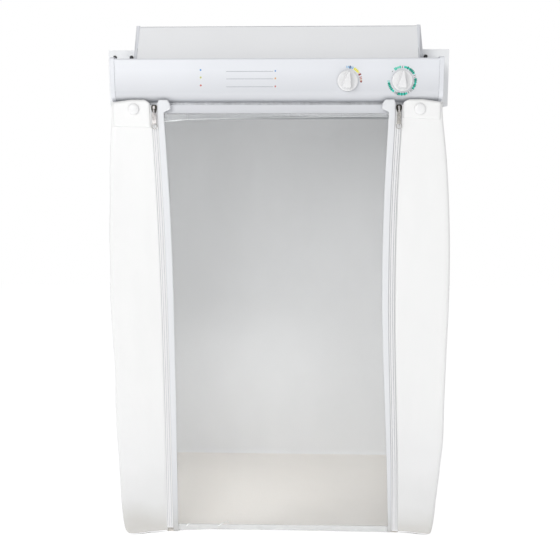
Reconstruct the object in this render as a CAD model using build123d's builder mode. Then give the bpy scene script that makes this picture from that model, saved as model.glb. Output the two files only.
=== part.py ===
from build123d import *
import os
from math import atan, cos, degrees, radians, sin

# Wall-hung warm-air clothes dryer: a steel chassis on the wall carries a blower
# head with its control panel, a bag frame and a hanging sheet bag with two zips.
# Lengths are millimetres and angles degrees. X is to the right, Y runs back to
# the wall at Y = 0 and Z is up. The origin is the middle of the wall holes.

# Sheets and clearances
sheet = 1.2              # folded steel
film = 1.0               # soft sheet of the bag
tape = 0.8               # woven zip tape
play = 0.3               # between parts that lie in or pass each other
running = 0.05           # round a turning shaft

# Chassis and front plate
reach = 404.0            # wall to panel face, and to the front of the bag
plate_width = 650.0
plate_height = 106.0
plate_setback = 88.0     # plate behind the panel face
plate_lap = 2.0          # plate beyond the shell, all round
shell_flange = 30.0
wall_hole_inset_x = 45.0
wall_hole_inset_z = 18.0
wall_hole = 8.5
vent_length = 60.0
vent_width = 6.0
vent_margin = 40.0       # shell end to the first vent's own stretch
vent_columns = 6
vent_rows = 2
vent_pitch_y = 30.0
ear_screw_head = 7.5
ear_screw_height = 1.9
ear_screw_edge = 0.9
ear_screw_shank = 4.0
ear_screw_length = 8.0
ear_screw_drop = 1.6     # below the middle of the plate above the panel
ear_screw_insets = (12.5, 44.5)
ear_screw_sides = ((-1, ear_screw_insets[0]), (-1, ear_screw_insets[1]), (1, ear_screw_insets[1]))
wire_hole = 16.0

# Control panel
panel_inset = 23.0       # plate beyond the panel at each end
panel_height = 77.0
panel_rise = 5.0         # panel edge above the bag frame
panel_wall = 2.0
panel_edge = 4.0         # bend at the top of the face
panel_roll = 20.0        # bend under the face
panel_lip = 3.0
cap_width = 8.0
cap_wall = 2.5
cap_stand = 2.3          # cap above the sheet that it closes
cap_proud = 0.8          # cap in front of the panel face

# Hood
hood_inset = 40.0        # panel beyond the hood at each end
hood_height = 66.0       # above the panel
hood_setback = 45.0      # foot of the hood behind the panel face
hood_crown = 5.0         # flat along the top
hood_foot = 6.0          # flange that rests on the panel
hood_tip = 1.5           # thickness of a hood cap at its front edge
hood_flare_low = 15.5
hood_flare_top = 7.0
grille_margin = 4.0
grille_inset = 22.0
grille_lap = 3.0
intake_slot = 3.0
intake_pitch = 10.0

# Base tray
tray_flange = 15.0

# Dials
timer_inset = 74.5       # timer dial from the end of the panel
dial_pitch = 98.0
dial_rise = 36.5         # dials above the lower edge of the panel
programme_turn = 8.0     # pointer at rest, clockwise from the top
timer_turn = 4.0
knob_diameter = 37.0
knob_skirt = 6.0
knob_height = 18.0
knob_gap = 0.8
knob_edge = 1.6
grip_edge = 0.8
grip_top_width = 5.0     # grip at its pointer
grip_foot_width = 14.0
grip_top_reach = 16.2
grip_side_reach = 14.2
grip_foot_reach = 16.2
grip_draft = 7.0         # degrees
shaft_diameter = 6.0
shaft_hold = 12.0        # length of shaft in a knob
shaft_edge = 0.5
neck_diameter = 10.0
switch_size = 34.0
switch_depth = 22.0
switch_corner = 3.0
timer_size = 48.0
timer_depth = 30.0

# Cross-flow blower
fan_inset = 44.0         # blower from the left end of the panel sheet
motor_room = 49.5        # blower to programme switch
fan_setback = 54.0       # axis behind the panel face
fan_rise = 49.0          # axis above the bag frame
fan_radius = 26.0
fan_blades = 26
blade_depth = 6.5
blade_thickness = 0.9
blade_camber = 1.3
blade_folds = 3
blade_lean = 24.0        # degrees
disc_thickness = 2.0
disc_count = 4
fan_end_gap = 3.0
shaft_room = 1.0         # round the shaft in an end plate
scroll_radius = 30.5
tongue_gap = 3.5
tongue_angle = -40.0
tongue_foot = 4.0
bush_diameter = 14.0
bush_length = 8.0
bush_edge = 1.0
stub_short = 1.0         # end of the shaft short of the bush end

# Motor
stack_length = 20.0
stack_width = 44.0
stack_height = 46.0
stack_corner = 3.0
stack_start = 8.0        # from the blower end plate
rotor_diameter = 26.0
rotor_gap = 0.8
leg_width = 8.0
coil_room = 10.0
coil_wall = 4.5
coil_corner = 2.0
coil_height = 24.0
coil_gap = 1.0
bracket_length = 35.0
bracket_depth = 40.0
bracket_boss = 4.0
bracket_hole = 16.0

# Heater
heater_height = 15.6
heater_depth = 55.0
rod_diameter = 6.4
rod_gap = 2.0            # bend of the outer hairpin to the frame
hairpin_halves = (7.0, 19.0)
hairpin_tail = 14.0
comb_thickness = 3.0
comb_spots = (0.3, 0.7)
outlet_slot = 4.0
outlet_pitch = 9.0
outlet_lap = 5.0
outlet_margin = 4.0

# Small electrical parts
thermostat_diameter = 16.0
thermostat_height = 7.0
thermostat_edge = 1.0
thermostat_drop = 5.0
thermostat_turn = 45.0   # degrees round the fan, from the front
spade_pitch = 9.0
spade_width = 4.0
spade_thickness = 0.8
spade_length = 6.0
block_length = 40.0
block_depth = 18.0
block_height = 14.0
block_inset = 12.0       # from the right end of the panel sheet
block_ways = 4
block_bore = 5.6
block_bore_depth = 7.0
grommet_bore = 9.0
grommet_neck = 20.0
grommet_flange = 25.0
grommet_rim = 2.0
grommet_y = -60.0
grommet_z = 10.0

# Bag frame
bar_height = 15.5
bar_depth = 12.0
side_depth = 16.0
bar_setback = 6.0        # front bar behind the bag front
bar_wall = 1.5
bar_edge = 1.3
bracket_leg = 50.0
bracket_width = 9.0
bracket_thickness = 2.0
rod_size = 14.0
rod_edge = 1.0
rod_rise = 9.0           # rod axis above the frame
rod_setback = 202.0      # behind the panel face
saddle_thickness = 5.5
saddle_width = 26.0
saddle_height = 17.0
saddle_inset = 1.0

# Bag
wall_gap = 4.0
bag_inset = 21.0         # shell beyond the top of the bag at each side
bag_swell = 21.0         # widest part beyond the top of the bag
bag_foot_swell = 7.0     # foot beyond the top of the bag
bag_belly_drop = 417.0
bag_drop = 830.0
bag_corner = 24.0
corner_dip = 8.0

# Zips, window and flaps
zip_inset = 79.0         # zip from the side of the bag's top
zip_edge = 7.0           # flap and strip edges from the middle of the zip
zip_drift = 11.0         # both zips hang this far to the right at the foot
tape_width = 10.5
chain_gap = 2.0
chain_row = 2.0
chain_depth = 2.6
strip_width = 13.0
window_drop = 23.0       # top of the window below the frame
hem_height = 5.0
hook_width = 24.0
hook_leg = 16.0
hook_rise = 6.0
hook_slant = 6.0
hook_drop = 8.0
flap_rise = 9.0          # flap above the frame
flap_slant_x = 10.5
flap_slant_drop = 8.5
flap_bend_x = 2.0
flap_bend_drop = 1.0
flap_outer_drop = 4.9
flap_peak = 36.0         # highest stretch of the flap from its inner edge
slider_width = 10.5
slider_height = 14.5
slider_plate = 1.2
slider_room = 0.4
slider_taper = 4.0
slider_neck = 4.8
slider_edge = 1.0
slider_top = 0.5         # slider below the top of the frame
rib_width = 3.0
rib_depth = 0.7
lug_width = 2.4
lug_height = 7.0
lug_depth = 4.0
tab_pin = 1.6
tab_width = 8.4
tab_end_width = 11.0
tab_end_length = 11.0
tab_length = 34.5
tab_thickness = 1.4
tab_rise = 1.4           # top of the tab above its pin
tab_slot = 4.8           # foot of the fork's slot below the pin
tab_vee = 3.0
tab_ring = 2.2
snap_inset = 41.0        # press stud from the side of the bag's top
snap_drop = 8.0
snap_diameter = 20.6
snap_height = 4.0
snap_draft = 30.0        # degrees
snap_stem = 6.0

# Places that the parts share
panel_y = -reach
plate_y = panel_y + plate_setback
shell_y = plate_y + sheet
under = -plate_height / 2
plate_top = plate_height / 2
shell_half = plate_width / 2 - plate_lap
shell_top = plate_top - plate_lap
ear_screw_spots = [way * (plate_width / 2 - inset) for way, inset in ear_screw_sides]
panel_low = under + panel_rise
panel_top = panel_low + panel_height
ear_screw_z = (panel_top + plate_top) / 2 - ear_screw_drop
panel_end = plate_width / 2 - panel_inset
panel_half = panel_end - cap_width
hood_half = panel_end - hood_inset
hood_top = panel_top + hood_height
hood_front = panel_y + hood_setback
tray_front = panel_y + panel_roll
lip_end = tray_front + panel_lip
timer_x = panel_end - timer_inset
programme_x = timer_x - dial_pitch
dial_z = panel_low + dial_rise
fan_left = fan_inset - panel_half
fan_right = programme_x - switch_size / 2 - motor_room
fan_y = panel_y + fan_setback
fan_z = under + fan_rise
fan_start = fan_left + sheet + fan_end_gap
fan_end = fan_right - sheet - fan_end_gap
heater_front = fan_y - scroll_radius
heater_back = heater_front + heater_depth
tray_floor = under + sheet
heater_low = tray_floor + sheet
heater_top = heater_low + heater_height
block_x = panel_half - block_inset - block_length / 2
bar_front = panel_y + bar_setback
bar_back = bar_front + bar_depth
bar_low = under - bar_height
bag_top_half = shell_half - bag_inset
bag_belly_half = bag_top_half + bag_swell
bag_foot_half = bag_top_half + bag_foot_swell
side_out = bag_top_half - film
side_in = side_out - side_depth
bag_back_y = -wall_gap
rear_bar_back = bag_back_y - film
rear_bar_front = rear_bar_back - bar_depth
rod_y = panel_y + rod_setback
bag_front_y = panel_y + film
bag_low = under - bag_drop
corner_z = bag_low - corner_dip
belly_z = under - bag_belly_drop
window_top = under - window_drop
zip_x = bag_top_half - zip_inset
strip_out = zip_x - zip_edge
window_half = strip_out - strip_width
flap_in = zip_x + zip_edge
snap_x = bag_top_half - snap_inset
snap_z = under - snap_drop
tape_mid = bag_front_y + tape / 2
zip_lean = degrees(atan(zip_drift / (under - bag_low)))

pieces = {}


def folded(points, thickness, side):
    """Section of a folded sheet whose outer face runs through the points."""
    with BuildSketch() as section:
        with BuildLine():
            Polyline(*points)
            offset(amount=thickness, side=side, kind=Kind.INTERSECTION)
        make_face()
    return section.sketch


def bag_edge(inset=0.0):
    """Right-hand edge of the bag seen from the front, from the frame to the floor corner."""
    Spline(
        (bag_top_half - inset, under),
        (bag_belly_half - inset, belly_z),
        (bag_foot_half - inset, corner_z + bag_corner),
    )
    CenterArc((bag_foot_half - bag_corner, corner_z + bag_corner), bag_corner - inset, 0, -90)


# Chassis shell: a box open below and in front, with flanges turned inwards
with BuildPart() as chassis_shell:
    with BuildSketch(Plane.XY.offset(under)):
        with Locations((0, shell_y / 2)):
            Rectangle(2 * shell_half, -shell_y)
    extrude(amount=shell_top - under)
    with BuildSketch(Plane.XY.offset(tray_floor)):
        with Locations((0, shell_y / 2)):
            Rectangle(2 * (shell_half - sheet), -shell_y - 2 * sheet)
    extrude(amount=shell_top - sheet - tray_floor, mode=Mode.SUBTRACT)
    with BuildSketch(Plane.XY.offset(under)):
        with Locations((0, shell_y)):
            Rectangle(
                2 * (shell_half - shell_flange),
                -shell_y - shell_flange,
                align=(Align.CENTER, Align.MIN),
            )
    extrude(amount=sheet, mode=Mode.SUBTRACT)
    with BuildSketch(Plane.XZ.offset(-shell_y)):
        with Locations((0, under)):
            Rectangle(
                2 * (shell_half - shell_flange),
                shell_top - shell_flange - under,
                align=(Align.CENTER, Align.MIN),
            )
    extrude(amount=-sheet, mode=Mode.SUBTRACT)
    # Wall holes
    with BuildSketch(Plane.XZ):
        with GridLocations(
            plate_width - 2 * wall_hole_inset_x, plate_height - 2 * wall_hole_inset_z, 2, 2
        ):
            Circle(wall_hole / 2)
    extrude(amount=sheet, mode=Mode.SUBTRACT)
    # Moist air leaves through slots in the top
    vent_pitch_x = 2 * (shell_half - vent_margin) / vent_columns
    with BuildSketch(Plane.XY.offset(shell_top)):
        with Locations((0, shell_y / 2)):
            with GridLocations(vent_pitch_x, vent_pitch_y, vent_columns, vent_rows):
                SlotOverall(vent_length, vent_width)
    extrude(amount=-sheet, mode=Mode.SUBTRACT)
    # Ear screws
    with BuildSketch(Plane.XZ.offset(-shell_y)):
        with Locations(*[(spot, ear_screw_z) for spot in ear_screw_spots]):
            Circle(ear_screw_shank / 2 + play)
    extrude(amount=-sheet, mode=Mode.SUBTRACT)
    # Supply cord inlet
    with BuildSketch(Plane.YZ.offset(shell_half)):
        with Locations((grommet_y, grommet_z)):
            Circle(grommet_neck / 2 + play)
    extrude(amount=-sheet, mode=Mode.SUBTRACT)
pieces["chassis_shell"] = chassis_shell

with BuildPart() as front_plate:
    with BuildSketch(Plane.XZ.offset(-plate_y)):
        RectangleRounded(plate_width, plate_height, plate_lap)
        with Locations(*[(spot, ear_screw_z) for spot in ear_screw_spots]):
            Circle(ear_screw_shank / 2 + play, mode=Mode.SUBTRACT)
        with Locations((block_x, 0)):
            Circle(wire_hole / 2, mode=Mode.SUBTRACT)
    extrude(amount=-sheet)
pieces["front_plate"] = front_plate

with BuildPart() as ear_screws:
    with BuildSketch(Plane.XZ.offset(-plate_y)):
        with Locations(*[(spot, ear_screw_z) for spot in ear_screw_spots]):
            Circle(ear_screw_head / 2)
    extrude(amount=ear_screw_height)
    chamfer(ear_screws.faces().sort_by(Axis.Y)[: len(ear_screw_spots)].edges(), ear_screw_edge)
    with BuildSketch(Plane.XZ.offset(-plate_y)):
        with Locations(*[(spot, ear_screw_z) for spot in ear_screw_spots]):
            Circle(ear_screw_shank / 2)
    extrude(amount=-ear_screw_length)
pieces["ear_screws"] = ear_screws

with BuildPart() as cord_grommet:
    with BuildSketch(Plane.XY.offset(grommet_z)):
        with BuildLine():
            Polyline(
                (shell_half + grommet_rim, grommet_y + grommet_bore / 2),
                (shell_half + grommet_rim, grommet_y + grommet_flange / 2),
                (shell_half, grommet_y + grommet_flange / 2),
                (shell_half, grommet_y + grommet_neck / 2),
                (shell_half - sheet, grommet_y + grommet_neck / 2),
                (shell_half - sheet, grommet_y + grommet_flange / 2),
                (shell_half - sheet - grommet_rim, grommet_y + grommet_flange / 2),
                (shell_half - sheet - grommet_rim, grommet_y + grommet_bore / 2),
                close=True,
            )
        make_face()
    revolve(axis=Axis((0, grommet_y, grommet_z), (1, 0, 0)))
pieces["cord_grommet"] = cord_grommet

# Control panel: top, face and rolled lower edge from one sheet
with BuildPart() as control_panel:
    with BuildSketch(Plane.YZ):
        with BuildLine():
            FilletPolyline(
                (plate_y, panel_top),
                (panel_y, panel_top),
                (panel_y, panel_low),
                (lip_end, panel_low),
                radius=[panel_edge, panel_roll],
            )
            offset(amount=panel_wall, side=Side.LEFT)
        make_face()
    extrude(amount=panel_half, both=True)
    # Air passes down from the hood to the blower
    with BuildSketch(Plane.XY.offset(panel_top)):
        with Locations(((fan_start + fan_end) / 2, (hood_front + plate_y) / 2)):
            Rectangle(fan_end - fan_start - 2 * bush_length, hood_setback - 3 * panel_edge)
    extrude(amount=-panel_wall, mode=Mode.SUBTRACT)
    with BuildSketch(Plane.XZ.offset(reach)):
        with Locations((programme_x, dial_z), (timer_x, dial_z)):
            Circle(neck_diameter / 2 + play)
    extrude(amount=-panel_wall, mode=Mode.SUBTRACT)
pieces["control_panel"] = control_panel

# End caps close the panel, the base tray and the ends of the head
cap_face = panel_y - cap_proud
with BuildPart() as panel_cap_right:
    with BuildSketch(Plane.YZ.offset(panel_half)) as cap_outline:
        with BuildLine():
            FilletPolyline(
                (lip_end, panel_low),
                (cap_face, panel_low),
                (cap_face, panel_top + cap_stand),
                (plate_y, panel_top + cap_stand),
                radius=[panel_roll, panel_edge],
            )
            Polyline(
                (plate_y, panel_top + cap_stand),
                (plate_y, under),
                (lip_end, under),
                (lip_end, panel_low),
            )
        make_face()
    extrude(amount=cap_width)
    with BuildSketch(Plane.YZ.offset(panel_half)):
        add(cap_outline.sketch_local)
        offset(amount=-cap_wall)
    extrude(amount=cap_width - cap_wall, mode=Mode.SUBTRACT)
    outer_rim = panel_cap_right.faces().sort_by(Axis.X)[-1].edges()
    fillet(outer_rim.sort_by(Axis.Z)[-2:], cap_proud)
pieces["panel_cap_right"] = panel_cap_right

with BuildPart() as panel_cap_left:
    mirror(panel_cap_right.part, about=Plane.YZ)
pieces["panel_cap_left"] = panel_cap_left

# Hood: a sloping front, a narrow crown and an upright back with the air intake
grille_z = (plate_top + hood_top) / 2
grille_height = hood_top - plate_top - 2 * grille_margin
grille_width = 2 * (hood_half - grille_inset)
with BuildPart() as hood_cover:
    with BuildSketch(Plane.YZ):
        add(
            folded(
                [
                    (hood_front + hood_foot, panel_top),
                    (hood_front, panel_top),
                    (plate_y - hood_crown, hood_top),
                    (plate_y, hood_top),
                    (plate_y, panel_top),
                ],
                sheet,
                Side.RIGHT,
            )
        )
    extrude(amount=hood_half, both=True)
    with BuildSketch(Plane.XZ.offset(-plate_y)):
        with Locations((0, grille_z)):
            Rectangle(grille_width, grille_height)
    extrude(amount=sheet, mode=Mode.SUBTRACT)
pieces["hood_cover"] = hood_cover

with BuildPart() as intake_grille:
    with BuildSketch(Plane.XZ.offset(-plate_y)):
        with Locations((0, grille_z)):
            Rectangle(grille_width - 2 * play, grille_height - 2 * play)
    extrude(amount=sheet)
    with BuildSketch(Plane.XZ.offset(-plate_y + sheet)):
        with Locations((0, grille_z)):
            Rectangle(grille_width + 2 * grille_lap, grille_height + grille_lap)
    extrude(amount=sheet)
    with BuildSketch(Plane.XZ.offset(-plate_y)):
        with Locations((0, grille_z)):
            with GridLocations(intake_pitch, 1, int(grille_width / intake_pitch) - 1, 1):
                Rectangle(intake_slot, grille_height - 2 * grille_margin)
    extrude(amount=2 * sheet, mode=Mode.SUBTRACT)
pieces["intake_grille"] = intake_grille

# The outer side of each hood cap is flat, so its tip widens as the hood narrows
flare_slope = (hood_flare_low - hood_tip) / (plate_y - hood_front)
hood_tip_top = hood_flare_top - flare_slope * hood_crown
with BuildPart() as hood_cap_right:
    for height, front_y, tip, flare in (
        (panel_top, hood_front, hood_tip, hood_flare_low),
        (hood_top + cap_stand, plate_y - hood_crown, hood_tip_top, hood_flare_top),
    ):
        with BuildSketch(Plane.XY.offset(height)):
            with BuildLine():
                Polyline(
                    (hood_half, front_y),
                    (hood_half + tip, front_y),
                    (hood_half + flare, plate_y),
                    (hood_half, plate_y),
                    close=True,
                )
            make_face()
    loft(ruled=True)
pieces["hood_cap_right"] = hood_cap_right

with BuildPart() as hood_cap_left:
    mirror(hood_cap_right.part, about=Plane.YZ)
pieces["hood_cap_left"] = hood_cap_left

# Base tray under the head, with a window for the air outlet
outlet_x = (fan_left + fan_right) / 2
outlet_y = (heater_front + heater_back) / 2
outlet_width = fan_right - fan_left - 2 * (sheet + outlet_lap)
outlet_depth = heater_depth - 2 * outlet_lap
with BuildPart() as head_base:
    with BuildSketch(Plane.YZ):
        add(
            folded(
                [
                    (tray_front, panel_low),
                    (tray_front, under),
                    (plate_y, under),
                    (plate_y, under + tray_flange),
                ],
                sheet,
                Side.LEFT,
            )
        )
    extrude(amount=panel_half - play, both=True)
    with BuildSketch(Plane.XY.offset(under)):
        with Locations((outlet_x, outlet_y)):
            Rectangle(outlet_width, outlet_depth)
    extrude(amount=sheet, mode=Mode.SUBTRACT)
pieces["head_base"] = head_base

with BuildPart() as outlet_grille:
    with BuildSketch(Plane.XY.offset(tray_floor)):
        with Locations((outlet_x, outlet_y)):
            Rectangle(fan_right - fan_left, heater_depth)
            with GridLocations(outlet_pitch, 1, int(outlet_width / outlet_pitch) - 1, 1):
                Rectangle(outlet_slot, outlet_depth - 2 * outlet_margin, mode=Mode.SUBTRACT)
    extrude(amount=sheet)
pieces["outlet_grille"] = outlet_grille

# Heater: an open frame with two combs that hold two hairpin rods
heater_z = (heater_low + heater_top) / 2
heater_span = fan_right - fan_left
hairpin_spots = [side * half for half in hairpin_halves for side in (-1, 1)]
with BuildPart() as heater_frame:
    with BuildSketch(Plane.XY.offset(heater_low)):
        with Locations((outlet_x, outlet_y)):
            Rectangle(heater_span, heater_depth)
            Rectangle(heater_span - 2 * sheet, heater_depth - 2 * sheet, mode=Mode.SUBTRACT)
        for share in comb_spots:
            with Locations((fan_left + share * heater_span, outlet_y)):
                Rectangle(comb_thickness, heater_depth)
    extrude(amount=heater_height)
    # Holes for the rods in the right-hand wall and both combs
    with BuildSketch(Plane.YZ.offset(fan_right)):
        for spot in hairpin_spots:
            with Locations((outlet_y + spot, heater_z)):
                Circle(rod_diameter / 2 + play)
    extrude(amount=-(1 - comb_spots[0]) * heater_span - comb_thickness, mode=Mode.SUBTRACT)
pieces["heater_frame"] = heater_frame

bend_x = fan_left + sheet + rod_gap + rod_diameter / 2 + max(hairpin_halves)
tail_x = fan_right + hairpin_tail
with BuildPart() as heater_element:
    for half in hairpin_halves:
        with BuildLine(Plane.XY.offset(heater_z)) as hairpin:
            Line((tail_x, outlet_y - half), (bend_x, outlet_y - half))
            ThreePointArc(
                (bend_x, outlet_y - half),
                (bend_x - half, outlet_y),
                (bend_x, outlet_y + half),
            )
            Line((bend_x, outlet_y + half), (tail_x, outlet_y + half))
        with BuildSketch(Plane.YZ.offset(tail_x)):
            with Locations((outlet_y - half, heater_z)):
                Circle(rod_diameter / 2)
        sweep(path=hairpin.line)
pieces["heater_element"] = heater_element

# Blower housing: front scroll, rear tongue and two end plates
with BuildPart() as blower_scroll:
    with BuildSketch(Plane.YZ.offset(fan_left + sheet)):
        with BuildLine():
            CenterArc((fan_y, fan_z), scroll_radius, 90, 90)
            Line((heater_front, fan_z), (heater_front, heater_top))
            offset(amount=sheet, side=Side.LEFT)
        make_face()
    extrude(amount=fan_right - fan_left - 2 * sheet)
pieces["blower_scroll"] = blower_scroll

tongue_radius = fan_radius + tongue_gap
tongue_y = fan_y + tongue_radius * cos(radians(tongue_angle))
tongue_z = fan_z + tongue_radius * sin(radians(tongue_angle))
with BuildPart() as blower_tongue:
    with BuildSketch(Plane.YZ.offset(fan_left + sheet)):
        add(
            folded(
                [
                    (heater_back, heater_top),
                    (heater_back, heater_top + tongue_foot),
                    (tongue_y, tongue_z),
                    (plate_y, fan_z),
                    (plate_y, fan_z + fan_radius),
                ],
                sheet,
                Side.LEFT,
            )
        )
    extrude(amount=fan_right - fan_left - 2 * sheet)
pieces["blower_tongue"] = blower_tongue

end_front = heater_front - sheet
end_top = fan_z + scroll_radius
for label, start_x in (("blower_end_left", fan_left), ("blower_end_right", fan_right - sheet)):
    with BuildPart() as blower_end:
        with BuildSketch(Plane.YZ.offset(start_x)):
            with Locations(((end_front + plate_y) / 2, (heater_top + end_top) / 2)):
                Rectangle(plate_y - end_front, end_top - heater_top)
            with Locations((fan_y, fan_z)):
                Circle(shaft_diameter / 2 + shaft_room, mode=Mode.SUBTRACT)
        extrude(amount=sheet)
        fillet(blower_end.edges().filter_by(Axis.X).sort_by(Axis.Z)[-2:], panel_edge)
    pieces[label] = blower_end

# Impeller: rings of cambered blades between discs
blade_shares = [2 * fold / blade_folds - 1 for fold in range(blade_folds + 1)]
blade_section = folded(
    [(share * blade_depth / 2, blade_camber * (1 - share**2)) for share in blade_shares],
    blade_thickness,
    Side.RIGHT,
)
with BuildPart() as impeller:
    with BuildSketch(Plane.YZ.offset(fan_start)):
        with Locations((fan_y, fan_z)):
            with PolarLocations(fan_radius - blade_depth / 2, fan_blades):
                with Locations(Rotation(0, 0, blade_lean)):
                    add(blade_section)
    extrude(amount=fan_end - fan_start)
    disc_step = (fan_end - fan_start - disc_thickness) / (disc_count - 1)
    for place in range(disc_count):
        ring_only = 0 < place < disc_count - 1
        with BuildSketch(Plane.YZ.offset(fan_start + place * disc_step)):
            with Locations((fan_y, fan_z)):
                Circle(fan_radius)
                if ring_only:
                    Circle(fan_radius - blade_depth, mode=Mode.SUBTRACT)
        extrude(amount=disc_thickness)
    with BuildSketch(Plane.YZ.offset(fan_start)):
        with Locations((fan_y, fan_z)):
            Circle(shaft_diameter / 2)
    extrude(amount=fan_left - bush_length + stub_short - fan_start)
pieces["impeller"] = impeller

with BuildPart() as end_bearing:
    with BuildSketch(Plane.YZ.offset(fan_left)):
        with Locations((fan_y, fan_z)):
            Circle(bush_diameter / 2)
            Circle(shaft_diameter / 2 + running, mode=Mode.SUBTRACT)
    extrude(amount=-bush_length)
    chamfer(end_bearing.faces().sort_by(Axis.X)[0].edges().sort_by(Edge.length)[-1], bush_edge)
pieces["end_bearing"] = end_bearing

thermostat_y = fan_y - scroll_radius * cos(radians(thermostat_turn))
thermostat_z = fan_z + scroll_radius * sin(radians(thermostat_turn)) - thermostat_drop
with BuildPart() as thermostat:
    with BuildSketch(Plane.YZ.offset(fan_left)):
        with Locations((thermostat_y, thermostat_z)):
            Circle(thermostat_diameter / 2)
    extrude(amount=-thermostat_height)
    chamfer(thermostat.faces().sort_by(Axis.X)[0].edges(), thermostat_edge)
    with BuildSketch(Plane.YZ.offset(fan_left - thermostat_height)):
        with Locations((thermostat_y, thermostat_z)):
            with GridLocations(spade_pitch, 1, 2, 1):
                Rectangle(spade_thickness, spade_width)
    extrude(amount=-spade_length)
pieces["thermostat"] = thermostat

# Shaded-pole motor beside the blower
stack_x = fan_right + stack_start
coil_y = fan_y - stack_width / 2 - coil_room / 2
leg_y = coil_y - coil_room / 2 - leg_width / 2
with BuildPart() as motor_stator:
    with BuildSketch(Plane.YZ.offset(stack_x)):
        with Locations((fan_y, fan_z)):
            RectangleRounded(stack_width, stack_height, stack_corner)
        with Locations((coil_y, fan_z)):
            Rectangle(coil_room + 2 * leg_width, stack_height)
            Rectangle(coil_room, coil_height + 2 * coil_gap, mode=Mode.SUBTRACT)
        with Locations((fan_y, fan_z)):
            Circle(rotor_diameter / 2 + rotor_gap, mode=Mode.SUBTRACT)
    extrude(amount=stack_length)
pieces["motor_stator"] = motor_stator

with BuildPart() as motor_coil:
    with BuildSketch(Plane.XY.offset(fan_z - coil_height / 2)):
        with Locations((stack_x + stack_length / 2, leg_y)):
            RectangleRounded(
                stack_length + 2 * (coil_wall + play),
                leg_width + 2 * (coil_wall + play),
                coil_corner,
            )
            Rectangle(stack_length + 2 * play, leg_width + 2 * play, mode=Mode.SUBTRACT)
    extrude(amount=coil_height)
pieces["motor_coil"] = motor_coil

with BuildPart() as motor_rotor:
    with BuildSketch(Plane.YZ.offset(fan_end)):
        with Locations((fan_y, fan_z)):
            Circle(shaft_diameter / 2)
    extrude(amount=fan_right + bracket_length + bracket_boss + sheet - fan_end)
    with BuildSketch(Plane.YZ.offset(stack_x)):
        with Locations((fan_y, fan_z)):
            Circle(rotor_diameter / 2)
    extrude(amount=stack_length)
pieces["motor_rotor"] = motor_rotor

with BuildPart() as motor_bracket:
    with BuildSketch(Plane.XZ.offset(-fan_y - bracket_depth / 2)):
        with Locations((fan_right + bracket_length / 2, fan_z)):
            Rectangle(bracket_length, stack_height + 2 * sheet)
            Rectangle(bracket_length - 2 * sheet, stack_height, mode=Mode.SUBTRACT)
    extrude(amount=bracket_depth)
    with BuildSketch(Plane.YZ.offset(fan_right + bracket_length)):
        with Locations((fan_y, fan_z)):
            Circle(bush_diameter / 2)
    extrude(amount=bracket_boss)
    with BuildSketch(Plane.YZ.offset(fan_right + bracket_length + bracket_boss)):
        with Locations((fan_y, fan_z)):
            Circle(shaft_diameter / 2 + running)
    extrude(amount=-bracket_boss - sheet, mode=Mode.SUBTRACT)
    with BuildSketch(Plane.YZ.offset(fan_right)):
        with Locations((fan_y, fan_z)):
            Circle(bracket_hole / 2)
    extrude(amount=sheet, mode=Mode.SUBTRACT)
pieces["motor_bracket"] = motor_bracket

with BuildPart() as terminal_block:
    with BuildSketch(Plane.XY.offset(tray_floor)):
        with Locations((block_x, outlet_y)):
            Rectangle(block_length, block_depth)
    extrude(amount=block_height)
    with BuildSketch(Plane.XY.offset(tray_floor + block_height)):
        with Locations((block_x, outlet_y)):
            with GridLocations(block_length / block_ways, 1, block_ways, 1):
                Circle(block_bore / 2)
    extrude(amount=-block_bore_depth, mode=Mode.SUBTRACT)
pieces["terminal_block"] = terminal_block

# The two switches behind the panel, with their shafts and knobs
inner_y = panel_y + panel_wall
switch_low = panel_low + panel_roll
for name, label, dial_x, size, depth, turn in (
    ("programme", "programme_switch", programme_x, switch_size, switch_depth, programme_turn),
    ("timer", "timer_unit", timer_x, timer_size, timer_depth, timer_turn),
):
    with BuildPart() as switch_body:
        with BuildSketch(Plane.XZ.offset(-inner_y)):
            with Locations((dial_x, switch_low + size / 2)):
                RectangleRounded(size, size, switch_corner)
        extrude(amount=-depth)
        with BuildSketch(Plane.XZ.offset(-inner_y)):
            with Locations((dial_x, dial_z)):
                Circle(neck_diameter / 2)
        extrude(amount=panel_wall - play)
        with BuildSketch(Plane.XZ.offset(reach)):
            with Locations((dial_x, dial_z)):
                Circle(shaft_diameter / 2 + running)
        extrude(amount=-depth, mode=Mode.SUBTRACT)
    pieces[label] = switch_body

    with BuildPart() as dial_shaft:
        with BuildSketch(Plane.XZ.offset(reach + knob_gap + shaft_hold)):
            with Locations((dial_x, dial_z)):
                Circle(shaft_diameter / 2)
        extrude(amount=play - knob_gap - shaft_hold - depth)
        chamfer(dial_shaft.faces().sort_by(Axis.Y)[0].edges(), shaft_edge)
    pieces[f"{name}_shaft"] = dial_shaft

    knob_plane = Plane(
        origin=(dial_x, panel_y - knob_gap, dial_z),
        x_dir=(cos(radians(turn)), 0, -sin(radians(turn))),
        z_dir=(0, -1, 0),
    )
    with BuildPart() as knob:
        with BuildSketch(knob_plane):
            Circle(knob_diameter / 2)
        extrude(amount=knob_skirt)
        chamfer(knob.faces().sort_by(Axis.Y)[0].edges(), knob_edge)
        with BuildSketch(knob_plane.offset(knob_skirt)):
            with BuildLine():
                Polyline(
                    (-grip_top_width / 2, grip_top_reach),
                    (grip_top_width / 2, grip_top_reach),
                    (grip_foot_width / 2, -grip_side_reach),
                    (0, -grip_foot_reach),
                    (-grip_foot_width / 2, -grip_side_reach),
                    close=True,
                )
            make_face()
        extrude(amount=knob_height - knob_skirt, taper=grip_draft)
        chamfer(knob.faces().sort_by(Axis.Y)[0].edges(), grip_edge)
        with BuildSketch(knob_plane):
            Circle(shaft_diameter / 2 + running)
        extrude(amount=shaft_hold + play, mode=Mode.SUBTRACT)
    pieces[f"{name}_knob"] = knob

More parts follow.
